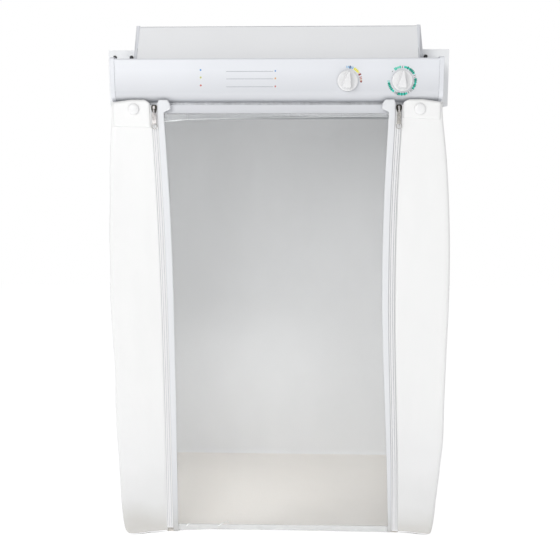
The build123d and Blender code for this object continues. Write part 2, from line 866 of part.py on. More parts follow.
# Bag frame: channels open to the inside, joined by corner brackets
with BuildPart() as front_bar:
    with BuildSketch(Plane.YZ):
        add(
            folded(
                [
                    (bar_back, under),
                    (bar_front, under),
                    (bar_front, bar_low),
                    (bar_back, bar_low),
                ],
                bar_wall,
                Side.LEFT,
            )
        )
    extrude(amount=side_out, both=True)
    fillet(front_bar.edges().filter_by(Axis.X).sort_by(Axis.Y)[:2], bar_edge)
pieces["front_bar"] = front_bar

with BuildPart() as rear_bar:
    with BuildSketch(Plane.YZ):
        add(
            folded(
                [
                    (rear_bar_front, under),
                    (rear_bar_back, under),
                    (rear_bar_back, bar_low),
                    (rear_bar_front, bar_low),
                ],
                bar_wall,
                Side.RIGHT,
            )
        )
    extrude(amount=side_out, both=True)
pieces["rear_bar"] = rear_bar

with BuildPart() as side_bar_right:
    with BuildSketch(Plane.XZ.offset(-bar_back)):
        add(
            folded(
                [
                    (side_in, under),
                    (side_out, under),
                    (side_out, bar_low),
                    (side_in, bar_low),
                ],
                bar_wall,
                Side.RIGHT,
            )
        )
    extrude(amount=bar_back - rear_bar_front)
pieces["side_bar_right"] = side_bar_right

with BuildPart() as side_bar_left:
    mirror(side_bar_right.part, about=Plane.YZ)
pieces["side_bar_left"] = side_bar_left

with BuildPart() as corner_brackets:
    bracket_out = side_out - bar_wall - play
    for start_y, turn_y in ((bar_front + bar_wall + play, 1), (rear_bar_back - bar_wall - play, -1)):
        for turn_x in (-1, 1):
            with BuildSketch(Plane.XY.offset(bar_low + bar_wall)):
                with BuildLine():
                    Polyline(
                        (turn_x * bracket_out, start_y),
                        (turn_x * bracket_out, start_y + turn_y * bracket_leg),
                        (turn_x * (bracket_out - bracket_width), start_y + turn_y * bracket_leg),
                        (turn_x * (bracket_out - bracket_width), start_y + turn_y * bracket_width),
                        (turn_x * (bracket_out - bracket_leg), start_y + turn_y * bracket_width),
                        (turn_x * (bracket_out - bracket_leg), start_y),
                        close=True,
                    )
                make_face()
            extrude(amount=bracket_thickness)
pieces["corner_brackets"] = corner_brackets

# Hanger rod in two saddles on the side bars
rod_z = under + rod_rise
saddle_in = side_in + saddle_inset
with BuildPart() as rod_saddles:
    with BuildSketch(Plane.YZ.offset(saddle_in)):
        with Locations((rod_y, under)):
            Rectangle(saddle_width, saddle_height, align=(Align.CENTER, Align.MIN))
        with Locations((rod_y, rod_z)):
            Circle(rod_size / 2 + play, mode=Mode.SUBTRACT)
            Rectangle(
                rod_size + 2 * play,
                saddle_height,
                align=(Align.CENTER, Align.MIN),
                mode=Mode.SUBTRACT,
            )
    extrude(amount=saddle_thickness)
    mirror(about=Plane.YZ)
pieces["rod_saddles"] = rod_saddles

with BuildPart() as hanger_rod:
    with BuildSketch(Plane.YZ):
        with Locations((rod_y, rod_z)):
            Circle(rod_size / 2)
    extrude(amount=saddle_in + saddle_thickness, both=True)
    chamfer(hanger_rod.faces().filter_by(Axis.X).edges(), rod_edge)
pieces["hanger_rod"] = hanger_rod

# Bag: sides that swell towards the middle, a back and a floor with dropped corners
floor_half = bag_foot_half - bag_corner
floor_line = [
    (-floor_half, corner_z),
    (zip_drift - flap_in, bag_low),
    (zip_drift + flap_in, bag_low),
    (floor_half, corner_z),
]
with BuildPart() as bag_side_right:
    with BuildSketch(Plane.XZ.offset(-bag_front_y)):
        with BuildLine():
            bag_edge()
            bag_edge(film)
            Line((bag_top_half, under), (bag_top_half - film, under))
            Line((floor_half, corner_z), (floor_half, corner_z + film))
        make_face()
    extrude(amount=bag_front_y - bag_back_y + film)
pieces["bag_side_right"] = bag_side_right

with BuildPart() as bag_side_left:
    mirror(bag_side_right.part, about=Plane.YZ)
pieces["bag_side_left"] = bag_side_left

with BuildPart() as bag_floor:
    with BuildSketch(Plane.XZ.offset(-bag_front_y)):
        with BuildLine():
            Polyline(*floor_line)
            Polyline(*[(x, z + film) for x, z in floor_line])
            Line(floor_line[0], (-floor_half, corner_z + film))
            Line(floor_line[-1], (floor_half, corner_z + film))
        make_face()
    extrude(amount=bag_front_y - bag_back_y + film)
pieces["bag_floor"] = bag_floor

with BuildPart() as bag_back:
    with BuildSketch(Plane.XZ.offset(-bag_back_y)):
        with BuildLine():
            bag_edge()
            mirror(about=Plane.YZ)
            Line((-bag_top_half, under), (bag_top_half, under))
            Polyline(*floor_line)
        make_face()
    extrude(amount=film)
pieces["bag_back"] = bag_back

def flap_face(drift):
    """Right-hand front flap; its zip edge stands this far to the right at the foot."""
    with BuildSketch(Plane.XZ.offset(-bag_front_y)) as face:
        with BuildLine():
            bag_edge()
            Polyline(
                (floor_half, corner_z),
                (flap_in + drift, bag_low),
                (flap_in, under - flap_slant_drop),
                (flap_in + flap_bend_x, under - flap_bend_drop),
                (flap_in + flap_slant_x, under + flap_rise),
                (flap_in + flap_peak, under + flap_rise),
                (bag_top_half, under + flap_rise - flap_outer_drop),
                (bag_top_half, under),
            )
        make_face()
        with Locations((snap_x, snap_z)):
            Circle(snap_stem / 2 + play, mode=Mode.SUBTRACT)
    return face.sketch


with BuildPart() as bag_flap_right:
    extrude(flap_face(zip_drift), amount=film)
pieces["bag_flap_right"] = bag_flap_right

with BuildPart() as bag_flap_left:
    mirror(extrude(flap_face(-zip_drift), amount=film, mode=Mode.PRIVATE), about=Plane.YZ)
pieces["bag_flap_left"] = bag_flap_left

with BuildPart() as snap_caps:
    with BuildSketch(Plane.XZ.offset(reach)):
        with Locations((-snap_x, snap_z), (snap_x, snap_z)):
            Circle(snap_diameter / 2)
    extrude(amount=snap_height, taper=snap_draft)
    with BuildSketch(Plane.XZ.offset(reach)):
        with Locations((-snap_x, snap_z), (snap_x, snap_z)):
            Circle(snap_stem / 2)
    extrude(amount=-bar_setback)
pieces["snap_caps"] = snap_caps

# Clear window between two border strips that hook over the front bar
with BuildPart() as window_film:
    with BuildSketch(Plane.XZ.offset(-bag_front_y)):
        with BuildLine():
            Polyline(
                (-window_half, window_top),
                (window_half, window_top),
                (zip_drift + window_half, bag_low),
                (zip_drift - window_half, bag_low),
                close=True,
            )
        make_face()
    extrude(amount=film)
pieces["window_film"] = window_film

with BuildPart() as window_hem:
    with BuildSketch(Plane.XZ.offset(reach)):
        with Locations((0, window_top)):
            Rectangle(2 * window_half, hem_height, align=(Align.CENTER, Align.MAX))
    extrude(amount=film)
pieces["window_hem"] = window_hem

def strip_face(drift):
    """Border strip right of the window; its foot stands this far to the right."""
    with BuildSketch(Plane.XZ.offset(-bag_front_y)) as face:
        with BuildLine():
            Polyline(
                (window_half + drift, bag_low),
                (strip_out + drift, bag_low),
                (strip_out, under),
                (strip_out - hook_slant, under + hook_rise),
                (strip_out - hook_width + hook_slant, under + hook_rise),
                (strip_out - hook_width, under - hook_drop),
                (window_half, window_top),
                close=True,
            )
        make_face()
    return face.sketch


with BuildPart() as strip_hook:
    with BuildSketch(Plane.YZ.offset(strip_out - hook_width)):
        add(
            folded(
                [
                    (bag_front_y, under + film),
                    (bar_back + film, under + film),
                    (bar_back + film, under - hook_leg),
                ],
                film,
                Side.RIGHT,
            )
        )
    extrude(amount=hook_width)

with BuildPart() as window_strip_right:
    extrude(strip_face(zip_drift), amount=film)
    add(strip_hook.part)
pieces["window_strip_right"] = window_strip_right

with BuildPart() as window_strip_left:
    mirror(extrude(strip_face(-zip_drift), amount=film, mode=Mode.PRIVATE), about=Plane.YZ)
    mirror(strip_hook.part, about=Plane.YZ)
pieces["window_strip_left"] = window_strip_left


def leaning(part, side):
    """The piece turned about the top of its zip, so that its foot stands further right."""
    return part.rotate(Axis((side * zip_x, 0, under), (0, 1, 0)), -zip_lean)


def mirrored(part):
    return mirror(part, about=Plane.YZ, mode=Mode.PRIVATE)


# Zips: each has two tapes with a row of teeth along their facing edges
row_start = chain_gap / 2
row_end = row_start + chain_row
with BuildPart() as upright_tapes:
    with BuildSketch(Plane.XY.offset(bag_low + film + play)):
        for way in (-1, 1):
            with Locations((zip_x + way * (row_end + tape_width) / 2, tape_mid)):
                Rectangle(tape_width - row_end, tape)
            with Locations((zip_x + way * (row_start + row_end) / 2, tape_mid)):
                Rectangle(chain_row, chain_depth)
    extrude(amount=under - bag_low - film - 2 * play)

with BuildPart() as zip_tapes_right:
    add(leaning(upright_tapes.part, 1))
pieces["zip_tapes_right"] = zip_tapes_right

with BuildPart() as zip_tapes_left:
    add(leaning(mirrored(upright_tapes.part), -1))
pieces["zip_tapes_left"] = zip_tapes_left

# Slider: two plates round the teeth, joined by a neck between the rows
slider_high = under - slider_top
slider_low = slider_high - slider_height
slider_half_room = chain_depth / 2 + slider_room
slider_face = tape_mid - slider_half_room - slider_plate
lug_z = slider_low + lug_height / 2
pivot_y = slider_face - lug_depth / 2
with BuildPart() as upright_slider:
    with BuildSketch(Plane.XY.offset(slider_low)):
        with Locations((zip_x, tape_mid)):
            Rectangle(slider_width, 2 * (slider_half_room + slider_plate))
            Rectangle(slider_width - 2 * slider_plate, 2 * slider_half_room, mode=Mode.SUBTRACT)
            Rectangle(slider_width, tape + 2 * slider_room, mode=Mode.SUBTRACT)
    extrude(amount=slider_height)
    with BuildSketch(Plane.XY.offset(slider_high - slider_neck)):
        with Locations((zip_x, tape_mid)):
            Rectangle(chain_gap - 2 * slider_room, 2 * slider_half_room)
    extrude(amount=slider_neck)
    # A low rib runs up the front plate from the lug
    with BuildSketch(Plane.XZ.offset(-slider_face)):
        with Locations((zip_x, slider_high - slider_edge)):
            Rectangle(
                rib_width,
                slider_height - lug_height - slider_edge,
                align=(Align.CENTER, Align.MAX),
            )
    extrude(amount=rib_depth)
    # The lower end is narrower
    with BuildSketch(Plane.XZ.offset(-bar_front)):
        with BuildLine():
            Polyline(
                (zip_x - slider_width / 2, slider_high),
                (zip_x + slider_width / 2, slider_high),
                (zip_x + slider_width / 2, slider_low + slider_taper),
                (zip_x + slider_width / 2 - slider_taper / 2, slider_low),
                (zip_x - slider_width / 2 + slider_taper / 2, slider_low),
                (zip_x - slider_width / 2, slider_low + slider_taper),
                close=True,
            )
        make_face()
    extrude(amount=2 * bar_setback, mode=Mode.INTERSECT)
    # Lug for the pull tab
    with BuildSketch(Plane.YZ.offset(zip_x - lug_width / 2)):
        with Locations((pivot_y, lug_z)):
            Rectangle(lug_depth, lug_height)
    extrude(amount=lug_width)
    with BuildSketch(Plane.YZ.offset(zip_x - lug_width / 2)):
        with Locations((pivot_y, lug_z)):
            Circle(tab_pin / 2 + 2 * running)
    extrude(amount=lug_width, mode=Mode.SUBTRACT)

with BuildPart() as zip_slider_right:
    add(leaning(upright_slider.part, 1))
pieces["zip_slider_right"] = zip_slider_right

with BuildPart() as zip_slider_left:
    add(leaning(mirrored(upright_slider.part), -1))
pieces["zip_slider_left"] = zip_slider_left

# Pull tab: forked at the top round the lug, with a pin, and an open ring at its foot
tab_top = lug_z + tab_rise
tab_foot = tab_top - tab_length
with BuildPart() as upright_tab:
    with BuildSketch(Plane.XZ.offset(-pivot_y - tab_thickness / 2)):
        with BuildLine():
            Polyline(
                (zip_x, tab_top),
                (zip_x + tab_width / 2, tab_top),
                (zip_x + tab_width / 2, tab_foot + tab_end_length),
                (zip_x + tab_end_width / 2, tab_foot + tab_end_length - tab_ring),
                (zip_x + tab_end_width / 2, tab_foot + tab_vee),
                (zip_x, tab_foot),
            )
            mirror(about=Plane.YZ.offset(zip_x))
        make_face()
        with Locations((zip_x, tab_top)):
            Rectangle(
                lug_width + 2 * play,
                tab_rise + tab_slot,
                align=(Align.CENTER, Align.MAX),
                mode=Mode.SUBTRACT,
            )
        with Locations((zip_x, tab_foot + tab_vee + tab_ring / 2)):
            Rectangle(
                tab_end_width - 2 * tab_ring,
                tab_end_length - tab_vee - 2 * tab_ring,
                align=(Align.CENTER, Align.MIN),
                mode=Mode.SUBTRACT,
            )
    extrude(amount=tab_thickness)
    with BuildSketch(Plane.YZ.offset(zip_x - lug_width / 2 - play)):
        with Locations((pivot_y, lug_z)):
            Circle(tab_pin / 2)
    extrude(amount=lug_width + 2 * play)

with BuildPart() as pull_tab_right:
    add(leaning(upright_tab.part, 1))
pieces["pull_tab_right"] = pull_tab_right

with BuildPart() as pull_tab_left:
    add(leaning(mirrored(upright_tab.part), -1))
pieces["pull_tab_left"] = pull_tab_left

os.makedirs("parts", exist_ok=True)
for label, piece in pieces.items():
    piece.part.label = label
    export_step(piece.part, f"parts/{label}.step")
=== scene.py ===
import math

import bmesh
import bpy
from mathutils import Matrix, Vector, noise


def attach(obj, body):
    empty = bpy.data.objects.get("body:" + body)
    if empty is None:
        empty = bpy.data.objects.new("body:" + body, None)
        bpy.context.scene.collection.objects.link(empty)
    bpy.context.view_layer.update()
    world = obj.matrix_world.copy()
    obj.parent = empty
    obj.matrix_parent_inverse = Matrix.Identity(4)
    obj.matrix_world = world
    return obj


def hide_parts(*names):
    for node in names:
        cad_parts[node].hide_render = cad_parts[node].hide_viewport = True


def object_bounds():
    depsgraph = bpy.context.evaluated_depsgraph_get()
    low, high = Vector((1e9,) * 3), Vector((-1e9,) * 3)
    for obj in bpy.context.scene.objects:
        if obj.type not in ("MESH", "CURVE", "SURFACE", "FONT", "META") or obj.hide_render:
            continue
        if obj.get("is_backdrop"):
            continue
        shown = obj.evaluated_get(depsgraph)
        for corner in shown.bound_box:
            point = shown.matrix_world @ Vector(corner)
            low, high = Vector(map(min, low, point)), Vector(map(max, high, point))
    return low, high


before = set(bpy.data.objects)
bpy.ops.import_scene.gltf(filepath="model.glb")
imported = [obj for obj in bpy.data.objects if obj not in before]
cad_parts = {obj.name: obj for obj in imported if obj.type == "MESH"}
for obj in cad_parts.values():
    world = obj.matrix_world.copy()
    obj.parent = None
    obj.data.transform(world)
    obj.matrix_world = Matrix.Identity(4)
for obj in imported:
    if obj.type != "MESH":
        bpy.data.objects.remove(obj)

cad_low, cad_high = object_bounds()
MM = 0.001
SIDES = ((1, "right"), (-1, "left"))


def placed(name, data):
    obj = bpy.data.objects.new(name, data)
    bpy.context.scene.collection.objects.link(obj)
    return obj


# Camera, worked out from the photograph's lines
CAMERA_AT = (0.0590, -1.8909, -0.1214)
LOOK_DOWN, LOOK_LEFT = 9.739, 1.983
lens = bpy.data.cameras.new("camera")
lens.lens, lens.sensor_width = 51.44, 36.0
lens.clip_start, lens.clip_end = 0.05, 60.0
camera = placed("camera", lens)
camera.location = CAMERA_AT
camera.rotation_euler = (math.radians(90 - LOOK_DOWN), 0, math.radians(LOOK_LEFT))
bpy.context.scene.camera = camera


# Materials
def fill(tree, n, inputs):
    """Links or sets the inputs of a node."""
    for key, value in dict(inputs).items():
        if isinstance(value, bpy.types.NodeSocket):
            tree.links.new(value, n.inputs[key])
        else:
            n.inputs[key].default_value = value
    return n


def node(tree, kind, inputs=(), **settings):
    n = tree.nodes.new(kind)
    for key, value in settings.items():
        setattr(n, key, value)
    return fill(tree, n, inputs)


def shader(name, colour, rough, metal=0.0, specular=0.5):
    m = bpy.data.materials.new(name)
    m.use_nodes = True
    m.diffuse_color = (*colour, 1)
    tree = m.node_tree
    b = fill(tree, tree.nodes["Principled BSDF"], {
        "Base Color": (*colour, 1), "Roughness": rough, "Metallic": metal, "Specular IOR Level": specular,
    })
    return m, tree, b


def coords(tree, scale=(1, 1, 1)):
    c = node(tree, "ShaderNodeTexCoord")
    return node(tree, "ShaderNodeMapping", {"Vector": c.outputs["Object"], "Scale": scale}).outputs[0]


def height(tree, vector=None):
    vector = coords(tree) if vector is None else vector
    return node(tree, "ShaderNodeSeparateXYZ", {"Vector": vector}).outputs["Z"]


def grain(tree, scale, detail=2.0, stretch=(1, 1, 1), rough=0.5):
    return node(tree, "ShaderNodeTexNoise", {
        "Vector": coords(tree, stretch), "Scale": scale, "Detail": detail, "Roughness": rough,
    }).outputs["Fac"]


def ramp(tree, fac, low, high, start=0.3, end=0.7):
    return node(tree, "ShaderNodeMapRange", {
        "Value": fac, "From Min": start, "From Max": end, "To Min": low, "To Max": high,
    }).outputs["Result"]


def mixed(tree, fac, a, b, how="MIX"):
    a, b = (v if isinstance(v, bpy.types.NodeSocket) else (*v, 1) for v in (a, b))
    return node(tree, "ShaderNodeMix", {0: fac, 6: a, 7: b}, data_type="RGBA", blend_type=how).outputs[2]


def bumps(tree, b, *layers):
    """Layers of (height, strength, distance in metres), coarse first."""
    last = None
    for bump, strength, distance in layers:
        n = node(tree, "ShaderNodeBump", {"Height": bump, "Strength": strength, "Distance": distance})
        if last:
            tree.links.new(last, n.inputs["Normal"])
        last = n.outputs[0]
    tree.links.new(last, b.inputs["Normal"])


def shade(colour, k):
    return tuple(min(1.0, c * k) for c in colour)


def mottled(tree, colour, low, high, fac, start=0.3, end=0.7):
    """The colour wandering between two shades of itself."""
    return mixed(tree, ramp(tree, fac, 0, 1, start, end), shade(colour, low), shade(colour, high))


def paint(name, colour, rough=0.38, peel=420, depth=0.00012, coat=0.0, painted_shade=()):
    """Powder coat or enamel: orange peel, slight mottle, a few scuffs.

    The last argument is (height, height, share): painted shade that darkens the paint from the first height down to
    the second, for light falling off towards the bottom."""
    m, t, b = shader(name, colour, rough)
    base = mottled(t, colour, 0.985, 1.012, grain(t, 7, 3))
    # painted shade: the paint darkens towards the lower edge, standing for less light there
    if painted_shade:
        base = mixed(t, ramp(t, height(t), 1, 0, painted_shade[1], painted_shade[0]), base, shade(colour, painted_shade[2]))
    scuff = ramp(t, grain(t, 60, 6, (1, 3, 3), 0.7), rough - 0.05, rough + 0.1)
    fill(t, b, {"Base Color": base, "Roughness": scuff, "Coat Weight": coat})
    bumps(t, b, (grain(t, 9, 1), 0.15, 0.0004), (grain(t, peel, 2), 0.3, depth))
    return m


FOOT_SPAN = 0.9    # height over which the painted shade at the sheet's foot runs, up to the underside of the frame
# Painted shade: the flaps and strips darken towards the floor, where less light reaches them
FOOT_PAINTED_SHADE = [
    (-0.885, (0.70, 0.685, 0.66)), (-0.862, (0.77, 0.765, 0.75)), (-0.825, (0.86, 0.86, 0.86)),
    (-0.75, (0.93, 0.93, 0.935)), (-0.60, (0.98, 0.98, 0.98)), (-0.30, (1, 1, 1)),
]


def vinyl(name, colour, rough=0.42, foot=()):
    """Flexible PVC sheet: fine leather grain, soft creases and slight clouding.

    foot lists (height, shade) pairs: painted shade that greys the sheet towards the floor, warm where the cream
    floor would show through it."""
    m, t, b = shader(name, colour, rough)
    base = mottled(t, colour, 0.975, 1.01, grain(t, 5, 4, (1, 1, 0.6)))
    if foot:
        drift = ramp(t, grain(t, 9, 3), -0.02, 0.02)
        level = node(t, "ShaderNodeMath", {0: drift, 1: height(t)}, operation="ADD").outputs[0]
        # painted shade ramp by height
        shade_ramp = node(t, "ShaderNodeValToRGB", {"Fac": ramp(t, level, 0, 1, -FOOT_SPAN, 0)})
        stops = shade_ramp.color_ramp.elements
        while len(stops) < len(foot):
            stops.new(0.5)
        for stop, (z, c) in zip(stops, sorted(foot)):
            stop.position, stop.color = (z + FOOT_SPAN) / FOOT_SPAN, (*c, 1)
        base = mixed(t, 1.0, base, shade_ramp.outputs[0], "MULTIPLY")
    fill(t, b, {
        "Base Color": base, "Roughness": ramp(t, grain(t, 22, 5), rough - 0.06, rough + 0.08),
        "Subsurface Weight": 0.12, "Subsurface Radius": (0.004, 0.004, 0.004),
    })
    cell = node(t, "ShaderNodeTexVoronoi", {"Vector": coords(t), "Scale": 1100.0}).outputs["Distance"]
    crease = grain(t, 14, 4, (1, 1, 0.35), 0.55)
    bumps(t, b, (crease, 0.35, 0.004), (grain(t, 90, 3), 0.12, 0.0008), (cell, 0.25, 0.00008))
    return m


def moulded(name, colour, rough=0.3, texture=0.00005, coat=0.15):
    """Moulded plastic: a very fine texture and slight waviness."""
    m, t, b = shader(name, colour, rough)
    fill(t, b, {
        "Base Color": mottled(t, colour, 0.98, 1.01, grain(t, 30, 3)),
        "Roughness": ramp(t, grain(t, 140, 4), rough - 0.04, rough + 0.06), "Coat Weight": coat,
    })
    bumps(t, b, (grain(t, 25, 2), 0.1, 0.0004), (grain(t, 1500, 2), 0.3, texture))
    return m


def metal(name, colour, rough=0.3, brush=(1, 1, 1), tarnish=0.8, scale=600):
    """Bare metal: patchy tarnish, and brushing where brush stretches the grain."""
    m, t, b = shader(name, colour, rough, 1.0)
    fill(t, b, {
        "Base Color": mottled(t, colour, tarnish, 1.08, grain(t, 90, 5, (1, 1, 1), 0.6), 0.35, 0.65),
        "Roughness": ramp(t, grain(t, scale, 3, brush), rough - 0.08, rough + 0.14),
    })
    bumps(t, b, (grain(t, scale, 2, brush), 0.25, 0.00006))
    return m


def clear(name, alpha=0.12, rough=0.12):
    """Clear film: mostly see-through, hazier along faint creases."""
    m, t, b = shader(name, (0.93, 0.95, 0.96), rough)
    haze = grain(t, 5, 5, (1, 1, 0.5), 0.6)
    fill(t, b, {"Alpha": ramp(t, haze, alpha * 0.75, alpha * 1.4)})
    bumps(t, b, (grain(t, 6, 3, (1, 1, 0.4)), 0.5, 0.006), (grain(t, 40, 3), 0.08, 0.0006))
    return m


WEAVE = 0.0011    # pitch of woven tape in metres


def woven(name, colour):
    m, t, b = shader(name, colour, 0.8, 0, 0.2)
    warp = node(t, "ShaderNodeTexWave", {
        "Vector": coords(t), "Scale": 0.314 / WEAVE, "Distortion": 0.6, "Detail": 1.0,
    }, bands_direction="Z").outputs["Fac"]
    weft = node(t, "ShaderNodeTexWave", {
        "Vector": coords(t), "Scale": 0.45 / WEAVE,
    }, bands_direction="X").outputs["Fac"]
    fill(t, b, {"Base Color": mixed(t, warp, shade(colour, 0.92), colour), "Sheen Weight": 0.15})
    bumps(t, b, (warp, 0.5, 0.00018), (weft, 0.4, 0.00012))
    return m


def enamel(name, colour):
    m, t, b = shader(name, colour, 0.35)
    fill(t, b, {"Base Color": mottled(t, colour, 0.85, 1.1, grain(t, 800, 3))})
    return m


EVEN, LONG = (1, 1, 1), (0.05, 1, 1)    # stretch of a metal's grain
M = {}
for kind, finishes in (
    (paint, {
        "painted_steel": ((0.80, 0.81, 0.82),),
        "plate_steel": ((0.87, 0.88, 0.89),),
        "hood_paint": ((0.89, 0.895, 0.905), 0.42, 420, 0.00005),
        # the panel paint carries painted shade, darker towards the bottom of its face
        "panel_paint": ((0.79, 0.805, 0.84), 0.32, 420, 0.00012, 0.1, (0.008, -0.046, 0.80)),
        "bar_paint": ((0.66, 0.67, 0.70), 0.4),
        "black_screw": ((0.02, 0.02, 0.02), 0.4),
    }),
    (metal, {
        "galvanised": ((0.62, 0.63, 0.65), 0.42, EVEN, 0.86, 120),
        "bright_steel": ((0.75, 0.75, 0.76), 0.18, LONG, 0.93),
        "core_steel": ((0.26, 0.26, 0.28), 0.55, (1, 0.05, 0.05), 0.8),
        "fan_aluminium": ((0.72, 0.73, 0.75), 0.34, LONG, 0.93),
        "bush_bronze": ((0.52, 0.36, 0.18), 0.4),
        "copper_winding": ((0.50, 0.22, 0.09), 0.35, LONG, 0.8, 900),
        "heater_sheath": ((0.30, 0.28, 0.27), 0.5, EVEN, 0.7),
        "zip_dark": ((0.07, 0.065, 0.055), 0.3, EVEN, 0.6, 500),
        "zip_metal": ((0.30, 0.28, 0.24), 0.3, EVEN, 0.55, 500),
        "zip_nickel": ((0.62, 0.60, 0.57), 0.26, EVEN, 0.8, 500),
        "zip_bright": ((0.88, 0.85, 0.84), 0.55, EVEN, 0.3, 500),
    }),
    (moulded, {
        "black_rubber": ((0.03, 0.03, 0.03), 0.7, 0.0001, 0),
        "black_moulding": ((0.04, 0.04, 0.04), 0.55, 0.0001, 0),
        "white_moulding": ((0.88, 0.88, 0.88),),
        "knob_moulding": ((0.83, 0.83, 0.835), 0.25, 0.00003, 0.3),
        "cap_moulding": ((0.77, 0.785, 0.82), 0.38),
        "grey_moulding": ((0.42, 0.43, 0.45), 0.5, 0.0001, 0),
        "dark_gap": ((0.05, 0.05, 0.055), 0.6, 0.0001, 0),
        "zip_coil": ((0.90, 0.90, 0.91), 0.35, 0.00003, 0),
    }),
    (vinyl, {
        "bag_sheet": ((0.885, 0.89, 0.895),),
        # flap_sheet and strip_sheet carry the painted shade towards the floor
        "flap_sheet": ((0.90, 0.90, 0.895), 0.42, FOOT_PAINTED_SHADE),
        "bag_floor_sheet": ((0.86, 0.82, 0.765),),
        "strip_sheet": ((0.80, 0.81, 0.83), 0.35, FOOT_PAINTED_SHADE),
        "edge_shade": ((0.30, 0.29, 0.28),),
    }),
    (clear, {
        "clear_film": (0.078,),
        "hem_film": (0.5, 0.25),
        "band_film": (0.25, 0.2),
        # near-opaque white for the creases: painted highlight
        "crease_film": (0.85, 0.2),
        "foot_film": (0.34, 0.25),
    }),
    (woven, {
        "zip_white": ((0.95, 0.95, 0.95),),
        "zip_line": ((0.40, 0.40, 0.42),),
        "zip_pale": ((0.56, 0.56, 0.58),),
    }),
):
    for name, values in finishes.items():
        M[name] = kind(name, *values)

# The carried-over nodes keep their shape and take these finishes by their record slot
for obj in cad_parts.values():
    for s in obj.material_slots:
        key = s.material.name.split(".")[0] if s.material else ""
        if key in M:
            s.material = M[key]


# Mesh helpers, in millimetres
def made(name, verts, faces, body="cabinet", slot="bag_sheet", material=None, smooth=True, indices=None):
    mesh = bpy.data.meshes.new(name)
    mesh.from_pydata([Vector(v) * MM for v in verts], [], faces)
    mesh.validate()
    for f in mesh.polygons:
        f.use_smooth = smooth
    for m in material if isinstance(material, list) else [material or M[slot]]:
        mesh.materials.append(m)
    if indices:
        for f, i in zip(mesh.polygons, indices):
            f.material_index = i
    obj = placed(name, mesh)
    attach(obj, body)
    return obj


def solid(obj, thickness, offset=-1.0):
    m = obj.modifiers.new("thickness", "SOLIDIFY")
    m.thickness = thickness * MM
    m.offset = offset


def bevel(obj, width, segments, angle):
    m = obj.modifiers.new("edges", "BEVEL")
    m.width, m.segments = width * MM, segments
    m.limit_method, m.angle_limit = "ANGLE", math.radians(angle)
    m.harden_normals = False


def lerp(a, b, t):
    return tuple(x + (y - x) * t for x, y in zip(a, b))


def smooth(t):
    t = min(1.0, max(0.0, t))
    return t * t * (3 - 2 * t)


def table(z, points):
    """Value at height z from (z, value) pairs, running smoothly through them."""
    pts = sorted(points, reverse=True)
    if z >= pts[0][0]:
        return pts[0][1]
    for i in range(len(pts) - 1):
        (z0, v0), (z1, v1) = pts[i], pts[i + 1]
        if z >= z1:
            before = pts[i - 1] if i else (2 * z0 - z1, 2 * v0 - v1)
            after = pts[i + 2] if i + 2 < len(pts) else (2 * z1 - z0, 2 * v1 - v0)
            t = (z - z0) / (z1 - z0)
            m0 = (v1 - before[1]) / (z1 - before[0]) * (z1 - z0)
            m1 = (after[1] - v0) / (after[0] - z0) * (z1 - z0)
            h = (2 * t**3 - 3 * t**2 + 1, t**3 - 2 * t**2 + t, -2 * t**3 + 3 * t**2, t**3 - t**2)
            return h[0] * v0 + h[1] * m0 + h[2] * v1 + h[3] * m1
    return pts[-1][1]


def wave(x, y, z, size, seed=0.0):
    return noise.noise(Vector((x / size + seed, y / size - seed, z / size + 2 * seed)))


def net(columns, rows, at):
    """Rows of points at(u, v), for the shares u across and v down."""
    return [[at(i / columns, j / rows) for i in range(columns + 1)] for j in range(rows + 1)]


def patch(top, bottom, left, right, columns, rows):
    """Grid of points between four edge functions of 0..1, top to bottom."""
    c00, c10, c01, c11 = top(0), top(1), bottom(0), bottom(1)

    def at(u, v):
        a, b, c, d = top(u), bottom(u), left(v), right(v)
        return tuple(
            (1 - v) * a[k] + v * b[k] + (1 - u) * c[k] + u * d[k]
            - ((1 - u) * (1 - v) * c00[k] + u * (1 - v) * c10[k] + (1 - u) * v * c01[k] + u * v * c11[k])
            for k in range(3)
        )

    return net(columns, rows, at)


def quads(rings, n, closed=True):
    """Faces between rings of n points each."""
    return [
        (j * n + i, j * n + (i + 1) % n, (j + 1) * n + (i + 1) % n, (j + 1) * n + i)
        for j in range(rings - 1) for i in range(n if closed else n - 1)
    ]


def turned(profile, n, x0=0.0, y0=0.0, z0=0.0):
    """Round part about a line along Y, from (radius, y) pairs, closed across its last ring."""
    turns = [2 * math.pi * i / n for i in range(n)]
    verts = [(x0 + r * math.cos(a), y0 + y, z0 + r * math.sin(a)) for r, y in profile for a in turns]
    return verts, quads(len(profile), n) + [tuple(range(len(verts) - n, len(verts)))]


class Sheet:
    """Collects grids of points into one welded mesh."""

    def __init__(self):
        self.verts, self.faces, self.indices = [], [], []

    def add(self, grid, flip=False, index=0):
        start, w = len(self.verts), len(grid[0])
        self.verts += [p for row in grid for p in row]
        for j in range(len(grid) - 1):
            for i in range(w - 1):
                a = start + j * w + i
                f = (a, a + 1, a + w + 1, a + w)
                self.faces.append(f[::-1] if flip else f)
                self.indices.append(index)
        return self

    def build(self, name, weld=0.02, **kw):
        obj = made(name, self.verts, self.faces, indices=self.indices, **kw)
        b = bmesh.new()
        b.from_mesh(obj.data)
        bmesh.ops.remove_doubles(b, verts=b.verts, dist=weld * MM)
        b.to_mesh(obj.data)
        b.free()
        return obj


# Places, repeated from the model
UNDER, LOW = -53.0, -883.0                    # underside of the frame, lower ends of the zips
REACH, FRONT, BACK = -404.0, -403.0, -4.5     # panel face, front and back of the bag
ZIP_X, ZIP_EDGE = 223.0, 5.6                  # a zip's middle under the frame, and half its coil's width
LEAN = 11.0 / 830.0                           # both zips hang a little to the right
SNAP_X, SNAP_Z = 261.0, -61.0
HALF, HEM, RIM = 302.0, UNDER - 0.3, -48.9    # bag at the frame: half width, sides' rim, flaps' outer corners

